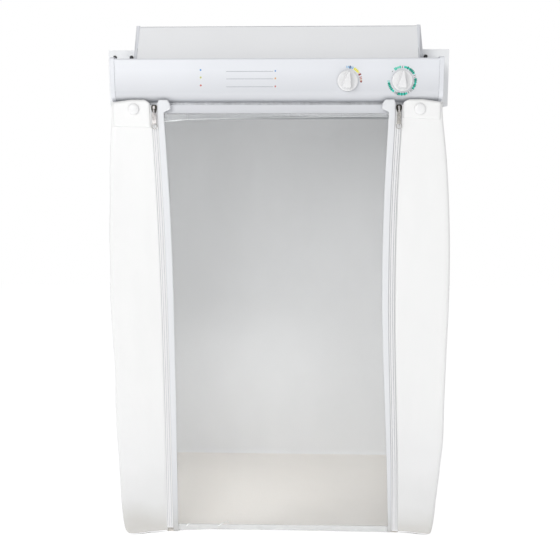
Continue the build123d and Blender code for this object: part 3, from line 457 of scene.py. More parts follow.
# The window pulls each zip a little inwards of its line between the frame and the floor
PULL = {
    1: [
        (-53, 0), (-80, 0.9), (-114, 2.6), (-170, 5.4), (-236, 8.0), (-320, 9.5), (-415, 9.8), (-500, 8.4),
        (-607, 5.5), (-690, 3.2), (-745, 1.9), (-843, 0.5), (-883, 0),
    ],
    -1: [
        (-53, 0), (-80, 0.4), (-114, 1.5), (-170, 3.0), (-236, 4.4), (-320, 5.2), (-415, 5.5), (-500, 5.0),
        (-607, 4.2), (-745, 2.4), (-843, 0.9), (-883, 0.5),
    ],
}

# Outer edges of the front: (height, x) on each side, and those of the back
EDGE = {
    -1: [
        (-48.9, -302.5), (-70, -303.4), (-153, -310), (-226, -312.6), (-300, -316.5), (-339, -316),
        (-415, -318.5), (-493, -316.3), (-573, -314), (-613, -315.8), (-695, -315.0), (-735, -312.9),
        (-777, -312.1), (-819, -311.2), (-862, -308.8), (-884, -306),
    ],
    1: [
        (-48.9, 302.3), (-70, 303.5), (-153, 314.3), (-226, 320.7), (-300, 325.2), (-339, 326.6),
        (-415, 327.6), (-493, 326.7), (-573, 325.8), (-613, 325.5), (-695, 325.6), (-735, 322.4),
        (-777, 319.2), (-819, 315.3), (-862, 312.2), (-872, 310),
    ],
}
BACK_EDGE = [(-53, 302), (-260, 316), (-470, 321), (-700, 316), (-870, 309)]
BACK_FOOT, BACK_ROUND = (298.0, -884.0), (11, -16)    # lower back corner, and how far it rounds off
FOOT_LINE = [
    (-287, -897.5), (-273, -896), (-249, -892.4), (-213, -889.5), (-176, -886.6), (-128, -884),
    (0, -883.5), (219, -884), (262, -884.6), (288, -887), (304.5, -888.8),
]


def zip_at(side, z):
    """Middle of a zip at height z; side is 1 on the right."""
    return side * (ZIP_X - table(z, PULL[side])) + LEAN * (UNDER - z)


def foot_z(x):
    """Height of the bag's lower front edge."""
    if x <= FOOT_LINE[0][0]:
        return FOOT_LINE[0][1]
    for (x0, z0), (x1, z1) in zip(FOOT_LINE, FOOT_LINE[1:]):
        if x <= x1:
            return z0 + (z1 - z0) * smooth((x - x0) / (x1 - x0))
    return FOOT_LINE[-1][1]


def fold(x, y, z):
    """How far the sheet stands off its plain surface: soft vertical drapes and slack."""
    depth = smooth((UNDER - z) / 160)
    drape = 2.6 * wave(x, y, z * 0.3, 70, 3.1) + 1.2 * wave(x, y, z * 0.5, 28, 8.4)
    return depth * drape + 0.4 * wave(x, y, z, 18, 1.7)


# Creases that the sheet keeps from being folded flat, as (height, depth) and (distance from the wall, depth)
PACKED_ACROSS = (-262, 1.5), (-470, -1.3), (-676, 1.5)
PACKED_DOWN = (-120, -1.2), (-270, 1.2)
CREASE = 9.0    # width of one


def packed(x, y, z):
    """Shallow crossing creases of the sides and back."""
    drift = 3.0 * wave(x, y, z, 160, 7.7)
    k = sum(d * math.exp(-(((z + drift - h) / CREASE) ** 2)) for h, d in PACKED_ACROSS)
    if abs(x) > 290:
        k += sum(d * math.exp(-(((y + drift - h) / CREASE) ** 2)) for h, d in PACKED_DOWN)
    return k


def lifted(grid, normal, deep=1.0, creased=0.0):
    """Adds the folds along a fixed direction, fading out at the grid's own rim."""
    rows, cols = len(grid), len(grid[0])
    out = []
    for j, row in enumerate(grid):
        new = []
        for i, p in enumerate(row):
            rim = min(1, 3 * i / cols, 3 * (cols - 1 - i) / cols, 8 * j / rows, 8 * (rows - 1 - j) / rows)
            k = (deep * fold(*p) + creased * packed(*p)) * smooth(rim) if rim > 0 else 0.0
            new.append(tuple(a + k * n for a, n in zip(p, normal)))
        out.append(new)
    return out


# Bag. An outline's lower corner begins at the share TURN of its length
TURN = 0.97
ROWS, FLAP_COLUMNS, SIDE_COLUMNS, WINDOW_COLUMNS = 96, 18, 34, 48
SAG = 3.0    # of the floor and of the sides' feet


def corner_angle(v):
    return (v - TURN) / 0.03 * math.pi / 2


def outer(side):
    """Outline of the front on one side, from its top round its corner at the floor."""
    edge = EDGE[side]
    z_end = edge[-1][0]
    x_end = table(z_end, edge)
    z_foot = -888.8 if side > 0 else -897.5
    x_foot = x_end - (5.5 if side > 0 else -11)

    def at(v):
        if v <= TURN:
            z = RIM + (z_end - RIM) * v / TURN
            return (table(z, edge), FRONT, z)
        t = corner_angle(v)
        return (x_foot + (x_end - x_foot) * math.cos(t), FRONT, z_end + (z_foot - z_end) * math.sin(t))

    return at


OUT = {1: outer(1), -1: outer(-1)}
FOOT = {1: OUT[1](1), -1: OUT[-1](1)}
SEAMS = {}
shell = Sheet()


def back_edge(side, v):
    """Outline of the back on one side, level with the front's."""
    if v <= TURN:
        z = OUT[side](v)[2]
        return (side * (table(z, BACK_EDGE) if v > 0 else HALF), BACK, min(z, HEM))
    t = corner_angle(v)
    x, z = BACK_FOOT
    dx, dz = BACK_ROUND
    return (side * (x + dx * math.cos(t)), BACK, z - dz + dz * math.sin(t))


def flap_top(side):
    """Upper edge of a front flap, from the zip outwards."""
    pts = [(230, -61.5), (232, -54), (240.5, -44), (266, -44), (302.4, RIM)]
    lengths = [0.0]
    for a, b in zip(pts, pts[1:]):
        lengths.append(lengths[-1] + math.dist(a, b))

    def at(u):
        s = u * lengths[-1]
        for i in range(len(pts) - 1):
            if s <= lengths[i + 1] + 1e-9:
                x, z = lerp(pts[i], pts[i + 1], (s - lengths[i]) / (lengths[i + 1] - lengths[i]))
                return (side * x if side > 0 or u < 1 else OUT[-1](0)[0], FRONT, z)
        return None

    return at


def foot_edge(side):
    """Lower edge of a front flap, from the zip outwards."""
    inner = zip_at(side, LOW) + side * ZIP_EDGE
    end, _, z_end = FOOT[side]

    def at(u):
        x = inner + (end - inner) * u
        return (x, FRONT, z_end if u == 1 else foot_z(x))

    return at


def add_side(side):
    """Front flap and side of the bag, which share their outer edge."""
    top, low = flap_top(side), foot_edge(side)
    corner, top_z, near = top(1), -61.5, 0.04

    def outer_edge(v):
        return OUT[side](v) if v else corner

    def inner_edge(v):
        z = top_z + (low(0)[2] - top_z) * v
        return (zip_at(side, z) + side * ZIP_EDGE, FRONT, z)

    def side_top(w):
        y = FRONT + (BACK - FRONT) * w
        return (side * HALF, y, HEM) if w > near else (corner[0], y, corner[2] + (HEM - corner[2]) * w / near)

    def side_foot(w):
        x, y, z = lerp(FOOT[side], back_edge(side, 1), w)
        return (x, y, z - SAG * math.sin(math.pi * w))

    flap = patch(top, low, inner_edge, outer_edge, FLAP_COLUMNS, ROWS)
    shell.add(lifted(flap, (0, -1.0, 0)), flip=side < 0, index=2)
    gusset = patch(side_top, side_foot, outer_edge, lambda v: back_edge(side, v), SIDE_COLUMNS, ROWS)
    gusset = lifted(gusset, (side, 0, 0), 2.2, 1.0)
    shell.add(gusset, flip=side < 0)
    SEAMS[side] = ([row[-2] for row in gusset[2:-2]], gusset[-3][1:-1])


add_side(1)
add_side(-1)

# Floor, in columns that meet those of the flaps
left, right = FOOT[-1][0], FOOT[1][0]
zip_l, zip_r = zip_at(-1, LOW) - ZIP_EDGE, zip_at(1, LOW) + ZIP_EDGE
xs = (
    [left + (zip_l - left) * i / FLAP_COLUMNS for i in range(FLAP_COLUMNS)]
    + [zip_l + (zip_r - zip_l) * i / WINDOW_COLUMNS for i in range(WINDOW_COLUMNS)]
    + [zip_r + (right - zip_r) * i / FLAP_COLUMNS for i in range(FLAP_COLUMNS + 1)]
)
grid = []
for k in range(SIDE_COLUMNS + 1):
    w = k / SIDE_COLUMNS
    row = []
    for i, x in enumerate(xs):
        x_front, _, z_front = FOOT[1 if x > 0 else -1]
        xk = x * ((1 - w) + w * abs(BACK_FOOT[0] / x_front))
        if 0 < i < len(xs) - 1:
            z_front = foot_z(x)
        rim = min(i, len(xs) - 1 - i, k, SIDE_COLUMNS - k)
        z = z_front + (BACK_FOOT[1] - z_front) * w - SAG * math.sin(math.pi * w)
        z += 1.6 * wave(xk, FRONT + w * 400, 0, 60, 5.0) * smooth(rim / 5)
        row.append((xk, FRONT + (BACK - FRONT) * w, z))
    grid.append(row)
shell.add(grid, flip=True, index=1)
floor_back = grid[-1]

# Back, whose last row is the floor's back line
grid = []
for j in range(ROWS + 1):
    v = j / ROWS
    row = []
    for x, low in zip(xs, floor_back):
        end = 1 if x > 0 else -1
        u = abs(x / FOOT[end][0])
        x_edge, _, z_edge = back_edge(end, v)
        z = HEM + (low[2] - HEM) * v
        row.append((u * x_edge, BACK, z + (z_edge - z) * smooth(u * 6 - 5)))
    grid.append(row)
grid[-1] = [(p[0], BACK, q[2]) for p, q in zip(grid[-1], floor_back)]
shell.add(lifted(grid, (0, -1, 0), 0.7, 0.5), flip=True)
sheets = [M["bag_sheet"], M["bag_floor_sheet"], M["flap_sheet"]]
bag = shell.build("bag_shell", weld=0.6, slot="bag_sheet", material=sheets)

# Soft edges: a little smoothing where the sheet turns
SHARP = 0.6    # radians
b = bmesh.new()
b.from_mesh(bag.data)
bmesh.ops.recalc_face_normals(b, faces=b.faces)
sharp = [e for e in b.edges if len(e.link_faces) == 2 and e.calc_face_angle(0) > SHARP]
near = list({v for e in sharp for v in e.verts if not v.is_boundary})
for _ in range(2):
    bmesh.ops.smooth_vert(b, verts=near, factor=0.5, use_axis_x=True, use_axis_y=True, use_axis_z=True)
b.to_mesh(bag.data)
b.free()
solid(bag, 0.8, -1.0)
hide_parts("bag_side_right", "bag_side_left", "bag_floor", "bag_back", "bag_flap_right", "bag_flap_left")


# Clear window; its border strips narrow towards the floor, as (height, width)
STRIP_WIDTH = {
    1: [(-53, 12.4), (-80, 12.2), (-300, 12.4), (-450, 12.0), (-880, 6.6)],
    -1: [(-53, 11.6), (-80, 11.8), (-300, 12.8), (-420, 12.2), (-880, 9.8)],
}
FOLD_LOW, FOLD_HIGH, FILM_TOP = -81.8, -74.0, -69.0    # folded hem on the left and right, and the film's top


def film_x(side, z):
    return zip_at(side, z) - side * (ZIP_EDGE + table(z, STRIP_WIDTH[side]))


def film_y(x, z):
    d = smooth((-76 - z) / 120) * smooth((z - LOW) / 60)
    return FRONT - 0.3 - d * (1.5 + 3.0 * wave(x, 0, z * 0.45, 120, 2.2) + 0.8 * wave(x, 9, z, 40, 6.6))


def film_at(u, v):
    z_top = FOLD_LOW + (FOLD_HIGH - FOLD_LOW) * smooth(u * 1.6) if u < 0.6 else FOLD_HIGH
    z = z_top + (foot_z(0) + 2 - z_top) * v
    a, c = film_x(-1, z), film_x(1, z)
    x = a + (c - a) * u
    return (x, film_y(x, z), z)


grid = net(48, 90, film_at)
above = [[(x, y + 0.2, z + (FILM_TOP - z) * k / 3) for x, y, z in grid[0]] for k in (3, 2, 1, 0)]
film = Sheet().add(grid).add(above, index=1)
film = film.build("window_sheet", slot="clear_film", material=[M["clear_film"], M["band_film"]])
solid(film, 0.4, 0)
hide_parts("window_film", "window_hem")


# Strips beside the window, with tabs that hook over the bar
TAB, HOOK = 24.5, 24.0    # widths


def strip_y(x, z):
    return FRONT - 0.4 + (film_y(x, z) - FRONT) * 0.4


for side, tag in ((1, "r"), (-1, "l")):
    zs = [-56.0, -60.5, -62.5, -64.5, -67.0, -71.0]
    zs += [-76 + k * (foot_z(side * 214) + 1 + 76) / 110 for k in range(111)]
    grid = []
    for z in zs:
        narrow = table(z, STRIP_WIDTH[side])
        wide = narrow + (TAB - narrow) * smooth((z + 67.2) / 6.7)
        line = [zip_at(side, z) - side * (ZIP_EDGE + wide * i / 6) for i in range(7)]
        grid.append([(x, strip_y(x, z), z) for x in line])
    # Tab above: cut corners, then over the bar and down behind it
    x0 = side * (ZIP_X - ZIP_EDGE)
    tab, hook = (
        [[(x0 - side * (start + width * i / 6), y, z) for i in range(7)] for start, width, y, z in rows]
        for rows in (
            (
                (0.4, 23.2, FRONT - 0.4, -51.0), (2.2, 18.4, FRONT - 0.3, -46.2), (3.4, 14.6, FRONT - 0.2, -44.4),
            ), (
                (0, HOOK, FRONT, -55.0), (0, HOOK, FRONT + 0.6, -52.3), (0, HOOK, -398, -51.8),
                (0, HOOK, -388, -51.8), (0, HOOK, -385.2, -52.4), (0, HOOK, -384.6, -55), (0, HOOK, -384.6, -69),
            ),
        )
    )
    s = Sheet().add(grid, flip=side > 0).add([grid[0]] + tab, flip=side < 0).add(hook, flip=side < 0)
    strip = s.build(f"window_strip_{tag}", slot="bag_sheet", material=M["strip_sheet"])
    solid(strip, 0.9, -1)
    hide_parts(f"window_strip_{'right' if side > 0 else 'left'}")


# Zips: woven tapes and coil teeth
def zip_y(x, z):
    return FRONT + 0.4 + (strip_y(x, z) - FRONT) * 0.5


PITCH = 1.9
TAPE_STEPS = (0.0, 0.5), (1.2, 0), (2.6, 0), (3.6, 0.45), (4.2, 0), (5.0, 0), (7.6, 0)    # distance out, rise
TOOTH = (
    (-0.7, 0.55, 0), (-0.7, -0.55, 0), (2.6, -0.45, 0), (2.6, 0.45, 0),
    (-0.4, 0.3, -1.1), (-0.4, -0.3, -1.1), (2.2, -0.25, -0.9), (2.2, 0.25, -0.9),
)
TOOTH_FACES = (4, 5, 6, 7), (0, 4, 7, 3), (1, 2, 6, 5), (0, 1, 5, 4), (3, 7, 6, 2)
for side, tag in SIDES:
    s = Sheet()
    for way in (-1, 1):
        grid = []
        for j in range(101):
            z = UNDER - 1.0 + (LOW + 2 - UNDER + 1.0) * j / 100
            line = [(zip_at(side, z) + way * a, rise) for a, rise in TAPE_STEPS]
            grid.append([(x, zip_y(x, z) - rise, z) for x, rise in line])
        s.add(grid, flip=way < 0)
    tapes = s.build(f"zip_tape_{tag}", slot="zip_white")
    solid(tapes, 0.6, 0)
    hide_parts(f"zip_tapes_{tag}")
    verts, faces = [], []
    z, way = UNDER - 2.0, -1
    while z > LOW + 4:
        x, n = zip_at(side, z), len(verts)
        y = zip_y(x, z)
        verts += [(x + way * dx, y + dy, z + dz) for dx, dz, dy in TOOTH]
        faces += [tuple(n + q for q in f[::way]) for f in TOOTH_FACES]
        z, way = z - PITCH / 2, -way
    made(f"zip_teeth_{tag}", verts, faces, slot="zip_white", material=M["zip_coil"], smooth=False)


# Flat plates with holes, as curves turned to mesh
def plate(name, outlines, y, thick, edge=0.15, body="cabinet", slot="bag_sheet", material=None, place=None, steps=2):
    """A plate facing the front; outlines are closed lists of (x, z), its front face at y."""
    data = bpy.data.curves.new(name, "CURVE")
    data.dimensions, data.fill_mode = "2D", "BOTH"
    for line in outlines:
        sp = data.splines.new("POLY")
        sp.points.add(len(line) - 1)
        for q, (x, z) in zip(sp.points, line):
            q.co = (x * MM, z * MM, 0, 1)
        sp.use_cyclic_u = True
    data.extrude = (thick / 2 - edge) * MM
    data.bevel_depth, data.bevel_resolution = edge * MM, steps
    data.offset = -edge * MM
    tmp = bpy.data.objects.new(name + "_line", data)
    mesh = bpy.data.meshes.new_from_object(tmp)
    bpy.data.objects.remove(tmp)
    bpy.data.curves.remove(data)
    mesh.transform(Matrix(((1, 0, 0, 0), (0, 0, -1, (y + thick / 2) * MM), (0, 1, 0, 0), (0, 0, 0, 1))))
    if place:
        mesh.transform(place)
    mesh.materials.clear()
    mesh.materials.append(material or M[slot])
    obj = placed(name, mesh)
    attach(obj, body)
    return obj


def arc(cx, cz, r, a0, a1, n=24):
    turns = [math.radians(a0 + (a1 - a0) * i / n) for i in range(n + 1)]
    return [(cx + r * math.sin(a), cz + r * math.cos(a)) for a in turns]


def mirrored(half):
    """Closed outline from its right half, top to bottom."""
    return half + [(-x, z) for x, z in half[::-1] if x]


def rounded(points, r, x0=0.0, n=4):
    """Closed outline with its corners rounded, moved sideways by x0."""
    out = []
    for i, p in enumerate(points):
        a, c, q = (Vector((x0 + x, z)) for x, z in (points[i - 1], points[(i + 1) % len(points)], p))
        da, dc = (a - q), (c - q)
        k = min(r, da.length * 0.45, dc.length * 0.45)
        s0, s1 = q + da.normalized() * k, q + dc.normalized() * k
        for t in (j / n for j in range(n + 1)):
            out.append(tuple((1 - t) ** 2 * s0 + 2 * t * (1 - t) * q + t * t * s1))
    return out


def tilt(side):
    """Turn of a zip's slider and tab about the top of their zip, as in the model."""
    pivot = Matrix.Translation(Vector((side * ZIP_X, 0, UNDER)) * MM)
    return pivot @ Matrix.Rotation(-math.atan(LEAN), 4, "Y") @ pivot.inverted()


# Sliders and pull tabs
SLIDER = mirrored([(1.8, -53.1), (4.4, -53.9), (5.25, -56.4), (5.25, -60.6), (3.9, -64.5), (3.2, -68.0)])
TAB_PLATE = mirrored([(2.3, -63.4), (2.5, -68.0), (4.1, -70.0), (3.9, -74.0), (3.3, -79.0), (4.0, -86.6)])
TAB_EYE = mirrored([(1.5, -64.6), (1.6, -67.4)])
RING = mirrored([(3.8, -86.3), (5.4, -88.6), (5.4, -94.4), (0, -97.5)])
RING_HOLE = mirrored([(3.4, -88.2), (4.3, -89.4), (4.3, -93.8), (0, -96.3)])
BRIDGE = (    # height, depth and half width along the arched bridge that carries the tab
    (-55.4, -405.6, 1.5), (-55.7, -406.3, 1.8), (-57.4, -406.9, 2.0), (-60.2, -407.2, 1.9), (-61.6, -408.8, 1.3),
    (-63.6, -409.4, 1.1), (-65.6, -409.3, 1.1), (-67.2, -408.2, 1.1), (-67.9, -405.6, 1.4),
)
BRIDGE_THICK, BRIDGE_SIDES = 0.42, 10
for side, tag in SIDES:
    x, turn = side * ZIP_X, tilt(side)
    # painted highlight: the left tab is a paler, brighter copy of the nickel, as it catches more light
    tab_metal = M["zip_nickel"] if side > 0 else M["zip_bright"]
    body, tab_body = f"{tag}_slider", f"{tag}_tab"

    def part(name, outlines, y, thick, edge, material, steps=2, body=body, turn=turn):
        return plate(name, outlines, y, thick, edge, body, "zip_metal", material, turn, steps)

    # the slider's front is a near-black copy of its metal: painted dark reflection round the highlight
    front = part(f"slider_{tag}", [rounded(SLIDER, 1.6, x)], -405.5, 1.2, 0.35, M["zip_dark"], 3)
    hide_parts(f"zip_slider_{tag}")
    part(f"slider_back_{tag}", [rounded(SLIDER, 1.4, x)], -400.9, 1.2, 0.25, M["zip_metal"])
    neck = [(x - 0.55, -54.8), (x + 0.55, -54.8), (x + 0.4, -58.5), (x - 0.4, -58.5)]
    part(f"slider_neck_{tag}", [neck], -404.4, 3.6, 0.1, M["zip_metal"])
    verts = []
    for k, (z, y, wide) in enumerate(BRIDGE):
        zc, yc = BRIDGE[max(0, k - 1)], BRIDGE[min(len(BRIDGE) - 1, k + 1)]
        t = Vector((zc[0] - yc[0], zc[1] - yc[1])).normalized() * BRIDGE_THICK
        for a in (2 * math.pi * i / BRIDGE_SIDES for i in range(BRIDGE_SIDES)):
            verts.append((x + wide * math.cos(a), y + t.x * math.sin(a), z - t.y * math.sin(a)))
    faces = quads(len(BRIDGE), BRIDGE_SIDES)
    # white bridge: painted highlight
    bridge = made(f"slider_bridge_{tag}", verts, faces, body, "zip_metal", M["zip_bright"])
    bridge.data.transform(turn)
    # Pull tab: an eye round the bridge, a ribbed plate with a waist, and an open ring
    outlines = [rounded(TAB_PLATE, 1.0, x), rounded(TAB_EYE, 0.8, x)]
    tab = part(f"tab_{tag}", outlines, -408.2, 1.3, 0.3, tab_metal, 3, tab_body)
    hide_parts(f"pull_tab_{tag}")
    outlines = [rounded(RING, 1.2, x), rounded(RING_HOLE, 0.8, x)]
    part(f"tab_ring_{tag}", outlines, -408.1, 1.1, 0.3, M["zip_nickel"], 3, tab_body)
    for k in range(5):
        z = -71.6 - 2.6 * k
        rib = rounded([(-2.3, z), (2.3, z), (2.3, z - 1.1), (-2.3, z - 1.1)], 0.5, x)
        part(f"tab_rib_{tag}_{k}", [rib], -408.5, 0.5, 0.15, tab_metal, 2, tab_body)

# Doubled bands at the top of the flaps
BAND_ROWS, BAND_COLUMNS = 12, 18
for side, tag in SIDES:
    grid = []
    for j in range(BAND_ROWS + 1):
        row = []
        for i in range(BAND_COLUMNS + 1):
            u, v = i / BAND_COLUMNS, j / BAND_ROWS
            z_top = -45.2 - 4.2 * smooth((u - 0.45) / 0.55) if u > 0.1 else -45.2 - 50 * (0.1 - u)
            z_low = -80.0 + 3.0 * (1 - u) if side > 0 else -94.0 + u
            z = z_top + (z_low - z_top) * v
            a = zip_at(side, z) + side * (ZIP_EDGE + 2.4)
            c = side * 298.6 - (1 - side) * 0.2
            x = a + (c - a) * u
            lift = 0.3 + 0.15 * smooth(v) * (0.5 + wave(x, 0, z, 30, 4.0))
            if j in (0, BAND_ROWS) or i in (0, BAND_COLUMNS):
                lift = 0.15
            row.append((x, FRONT - fold(x, FRONT, z) * 0.2 - lift, z))
        grid.append(row)
    band = Sheet().add(grid, flip=side < 0).build(f"flap_band_{tag}", slot="bag_sheet", material=M["flap_sheet"])
    solid(band, 0.4, -1)


# Welded hem and creases at the foot of the window, and the seam behind
def hem_at(u, v):
    a, c = film_x(-1, -878), film_x(1, -878)
    x = a + (c - a) * u
    z_high = -872.2 + 2.2 * u + 0.8 * wave(u * 400, 0, 0, 60, 9.0)
    z = z_high + (foot_z(x) + 0.3 - z_high) * v
    return (x, film_y(x, z) - 0.5 - 0.5 * math.sin(math.pi * v), z)


hem = Sheet().add(net(60, 6, hem_at)).build("window_foot_hem", slot="clear_film", material=M["foot_film"])
solid(hem, 0.4, 0)


def ridge(name, path, width, high, material, slot, taper=True, normal=(0, -1, 0)):
    """A low rounded crease or weld along a path of (x, y, z)."""
    verts, n = [], 5
    for k, p in enumerate(path):
        a, c = Vector(path[max(0, k - 1)]), Vector(path[min(len(path) - 1, k + 1)])
        up = Vector(normal)
        across = (c - a).normalized().cross(up).normalized()
        f = math.sin(math.pi * (k + 0.35) / (len(path) - 0.3)) if taper else 1.0
        for w in (-1 + 2 * i / (n - 1) for i in range(n)):
            rise = up * (high * f * (1 - w * w) + 0.05)
            verts.append(tuple(Vector(p) + across * (w * width / 2 * max(0.15, f)) + rise))
    return made(name, verts, quads(len(path), n, closed=False), slot=slot, material=M[material])


def along(points, n):
    """n steps along a broken line, each leg taking the same number."""
    legs = len(points) - 1
    for k in range(n + 1):
        i = min(int(legs * k / n), legs - 1)
        yield lerp(points[i], points[i + 1], legs * k / n - i)


creases = [
    [(-186, -882), (-179, -876), (-171.8, -868.7)], [(-126, -880), (-112, -873), (-99.6, -865.2)],
    [(-99.6, -865.2), (-94, -868.0)], [(150, -882), (158, -879), (163, -881)],
    [(-204, -83.0), (-185, -81.6), (-168, -79.8)],
]
# the crease ridges are nearly opaque white film: painted highlights along the creases
for k, c in enumerate(creases):
    path = [(x, film_y(x, z) - 0.25, z) for x, z in along(c, 14)]
    ridge(f"film_crease_{k}", path, 2.2, 0.9, "crease_film", "clear_film")

# Bright folded hem along the top of the film
top_line = [
    (-205.0, -83.4), (-190, -82.2), (-160, -79.6), (-130, -78.3), (-66, -77.6), (0, -76.6), (80, -75.2),
    (150, -74.6), (203.4, -75.2),
]
path = [(x, film_y(x, z) - 0.3, z) for x, z in along(top_line, 64)]
ridge("film_top_fold", path, 1.5, 0.5, "hem_film", "clear_film", False)

seam = [(x, BACK - 1.2, z + 1.6 + 0.7 * wave(x, 0, 0, 55, 4.4)) for x, _, z in floor_back[2:-2]]
ridge("back_seam", seam, 5.0, 0.9, "bag_sheet", "bag_sheet", False)

# Painted shade lines along the edges of the coil and of the sheets beside it, and a dark strip painted as the shade
# where the flaps turn under at the floor
for side, tag in SIDES:
    # painted shade lines: grey on the right, paler on the left where more light falls
    line = "zip_line" if side > 0 else "zip_pale"
    for k, (off, rise) in enumerate(((-ZIP_EDGE, 0.75), (-2.3, 0.62), (2.3, 0.62), (ZIP_EDGE, 0.75))):
        zs = [UNDER - 3 + (LOW + 5 - UNDER + 3) * j / 120 for j in range(121)]
        path = [(zip_at(side, z) + side * off, z) for z in zs]
        path = [(x, zip_y(x, z) - rise, z) for x, z in path]
        ridge(f"zip_line_{tag}_{k}", path, 0.85, 0.12, line, "zip_white", False)
    # a dark strip painted as the shade where each flap turns under at the floor
    path = [(x, FRONT - 0.15, foot_z(x) + 0.5) for x in (foot_edge(side)(j / 24)[0] for j in range(25))]
    ridge(f"flap_foot_shade_{tag}", path, 1.5, 0.2, "edge_shade", "bag_sheet")

# Welded seams down the back corners and along the foot of each side
for side, tag in SIDES:
    for path, where in zip(SEAMS[side], ("back", "foot")):
        ridge(f"side_seam_{where}_{tag}", path, 6.0, 0.7, "bag_sheet", "bag_sheet", False, (side, 0, 0))
path = [(x, BACK + 0.3, z + 9.5) for x, _, z in floor_back[3:-3]]
ridge("rear_foot_seam", path, 6.0, 0.7, "bag_sheet", "bag_sheet", False, (0, 1, 0))


# Marks on the panel: ring ticks, legend dots and rules
def ink(name, colour, outlines, over=0.0):
    """Printed marks; over lifts those printed on top of others."""
    y = REACH - 0.1 - over
    return plate(name, outlines, y, 0.14, 0.02, "cabinet", "panel_paint", enamel(name, colour), None, 1)


DIAL_Z, OVER = -11.2, 0.04
PROGRAMME_X, TIMER_X = 129.7, 227.5


def ticks(x, angles, width, r0=21.4, r1=26.6):
    out = []
    for angle in angles:
        a = math.radians(angle)
        d, e = Vector((math.sin(a), math.cos(a))), Vector((math.cos(a), -math.sin(a))) * width / 2
        c = Vector((x, DIAL_Z))
        out.append([tuple(c + d * r + e * w) for r, w in ((r0, -1), (r1, -1), (r1, 1), (r0, 1))])
    return out


def bands(x, *spans):
    return [arc(x, DIAL_Z, 25.8, *s, 16) + arc(x, DIAL_Z, 22.2, *s, 16)[::-1] for s in spans]


def dot(x, angle, r, size, end, n):
    cx, cz = arc(x, DIAL_Z, r, angle, angle, 1)[0]
    return arc(cx, cz, size, 0, end, n)


blue, pale, rose, red = (0.01, 0.10, 0.26), (0.16, 0.46, 0.74), (0.52, 0.14, 0.09), (0.26, 0.02, 0.01)
sand, yellow, amber = (0.93, 0.90, 0.22), (0.86, 0.74, 0.05), (0.80, 0.42, 0.12)
teal, mint, deep, dark = (0.04, 0.60, 0.47), (0.22, 0.72, 0.56), (0.0, 0.15, 0.10), (0.12, 0.13, 0.12)
GREEN_TICKS = (24, 36, 42, 48, 55, 84, 89, 96, 108, 114, 126, 168, 180, 192, 198, 231, 238, 245, 252, 258)
ink("marks_programme_pale", pale, ticks(PROGRAMME_X, (-4, 3, 16, 22), 1.4, 22.0, 26.2))
ink("marks_programme_blue", blue, ticks(PROGRAMME_X, (9.5,), 2.4))
ink("marks_programme_sand", sand, bands(PROGRAMME_X, (27, 54)))
ink("marks_programme_yellow", yellow, ticks(PROGRAMME_X, (31, 38, 45), 1.3), OVER)
ink("marks_programme_red", red, ticks(PROGRAMME_X, (63.5,), 2.8) + [dot(PROGRAMME_X, 94, 24.2, 1.7, 345, 14)])
ink("marks_programme_rose", rose, ticks(PROGRAMME_X, (75, 82), 1.5, 21.8, 26.0))
ink("marks_programme_amber", amber, ticks(PROGRAMME_X, (57, 88), 0.9, 22.0, 26.0))
ink("marks_timer_mint", mint, bands(TIMER_X, (-37, -5)))
ink("marks_timer_pale", teal, ticks(TIMER_X, (-34, -28, -10), 1.2) + ticks(TIMER_X, (268,), 1.2, 21.6), OVER)
ink("marks_timer_teal", teal, bands(TIMER_X, (7, 62), (80, 129), (156, 199), (216, 264)))
ink("marks_timer_green", deep, ticks(TIMER_X, GREEN_TICKS, 1.5), OVER)
fine = ticks(TIMER_X, (0, 68, 76, 134, 140, 150, 204, 210), 0.9, 22.0, 26.0)
ink("marks_timer_fine", dark, fine + [dot(TIMER_X, -48, 24, 0.8, 330, 10)])
for k, (z, colour, end) in enumerate((
    (8.3, (0.10, 0.30, 0.62), (0.10, 0.30, 0.62)),
    (-4.9, (0.55, 0.58, 0.10), (0.75, 0.40, 0.08)),
    (-18.9, (0.55, 0.10, 0.08), (0.55, 0.10, 0.08)),
)):
    ink(f"legend_dot_{k}", colour, [arc(-136.5, z, 1.7, 0, 345, 16)])
    ink(f"legend_rule_{k}", (0.22, 0.24, 0.28), [[(-90, z - 2.4), (-5, z - 2.4), (-5, z - 2.95), (-90, z - 2.95)]])
    ink(f"legend_tick_{k}", end, [[(-2.2, z - 0.6), (0.2, z - 0.6), (0.2, z - 3.4), (-2.2, z - 3.4)]])

# Joint lines between the panel and its caps, round the roll, and along the hood, and a painted shadow line along the
# hood's top edge
ROLL_Y, ROLL_Z, ROLL_R = -384, -28, 20.02
for side, tag in ((-1, "l"), (1, "r")):
    x = side * 294.15
    roll = [math.radians(a) for a in range(8, 81, 8)]
    path = [(x, REACH + 0.05, 24.5 - 4.2 * k) for k in range(13)]
    path += [(x, ROLL_Y - ROLL_R * math.cos(a), ROLL_Z - ROLL_R * math.sin(a)) for a in roll]
    ridge(f"panel_joint_{tag}", path, 0.75, 0.02, "dark_gap", "panel_paint", False)
    path = [(side * 262.4, -359.2 + 38 * k / 8, 29.6 + 65.2 * k / 8) for k in range(9)]
    ridge(f"hood_joint_{tag}", path, 0.7, 0.03, "grey_moulding", "hood_paint", False, (0, -0.86, 0.5))
# painted shadow: a grey line along the hood's top edge, where its return flange casts shade
path = [(-261 + 522 * k / 30, -321.3, 95.05) for k in range(31)]
ridge("hood_edge_shadow", path, 0.9, 0.06, "grey_moulding", "hood_paint", False, (0, -0.8, 0.6))

# Cross recesses in the ear screws
SCREW_Z, SCREW_FACE = 39.4, -317.94
for k, x in enumerate((-312.5, -280.5, 280.5)):
    c, s = math.cos(math.radians(17 + 40 * k)), math.sin(math.radians(17 + 40 * k))
    cross, arm = [], [(-0.45, 2.2), (0.45, 2.2), (0.45, 0.45)]
    for _ in range(4):
        cross += [(x + a * c - b * s, SCREW_Z + a * s + b * c) for a, b in arm]
        arm = [(b, -a) for a, b in arm]
    plate(f"screw_recess_{k}", [cross], SCREW_FACE, 0.1, 0.02, "cabinet", "black_screw", M["dark_gap"], None, 1)


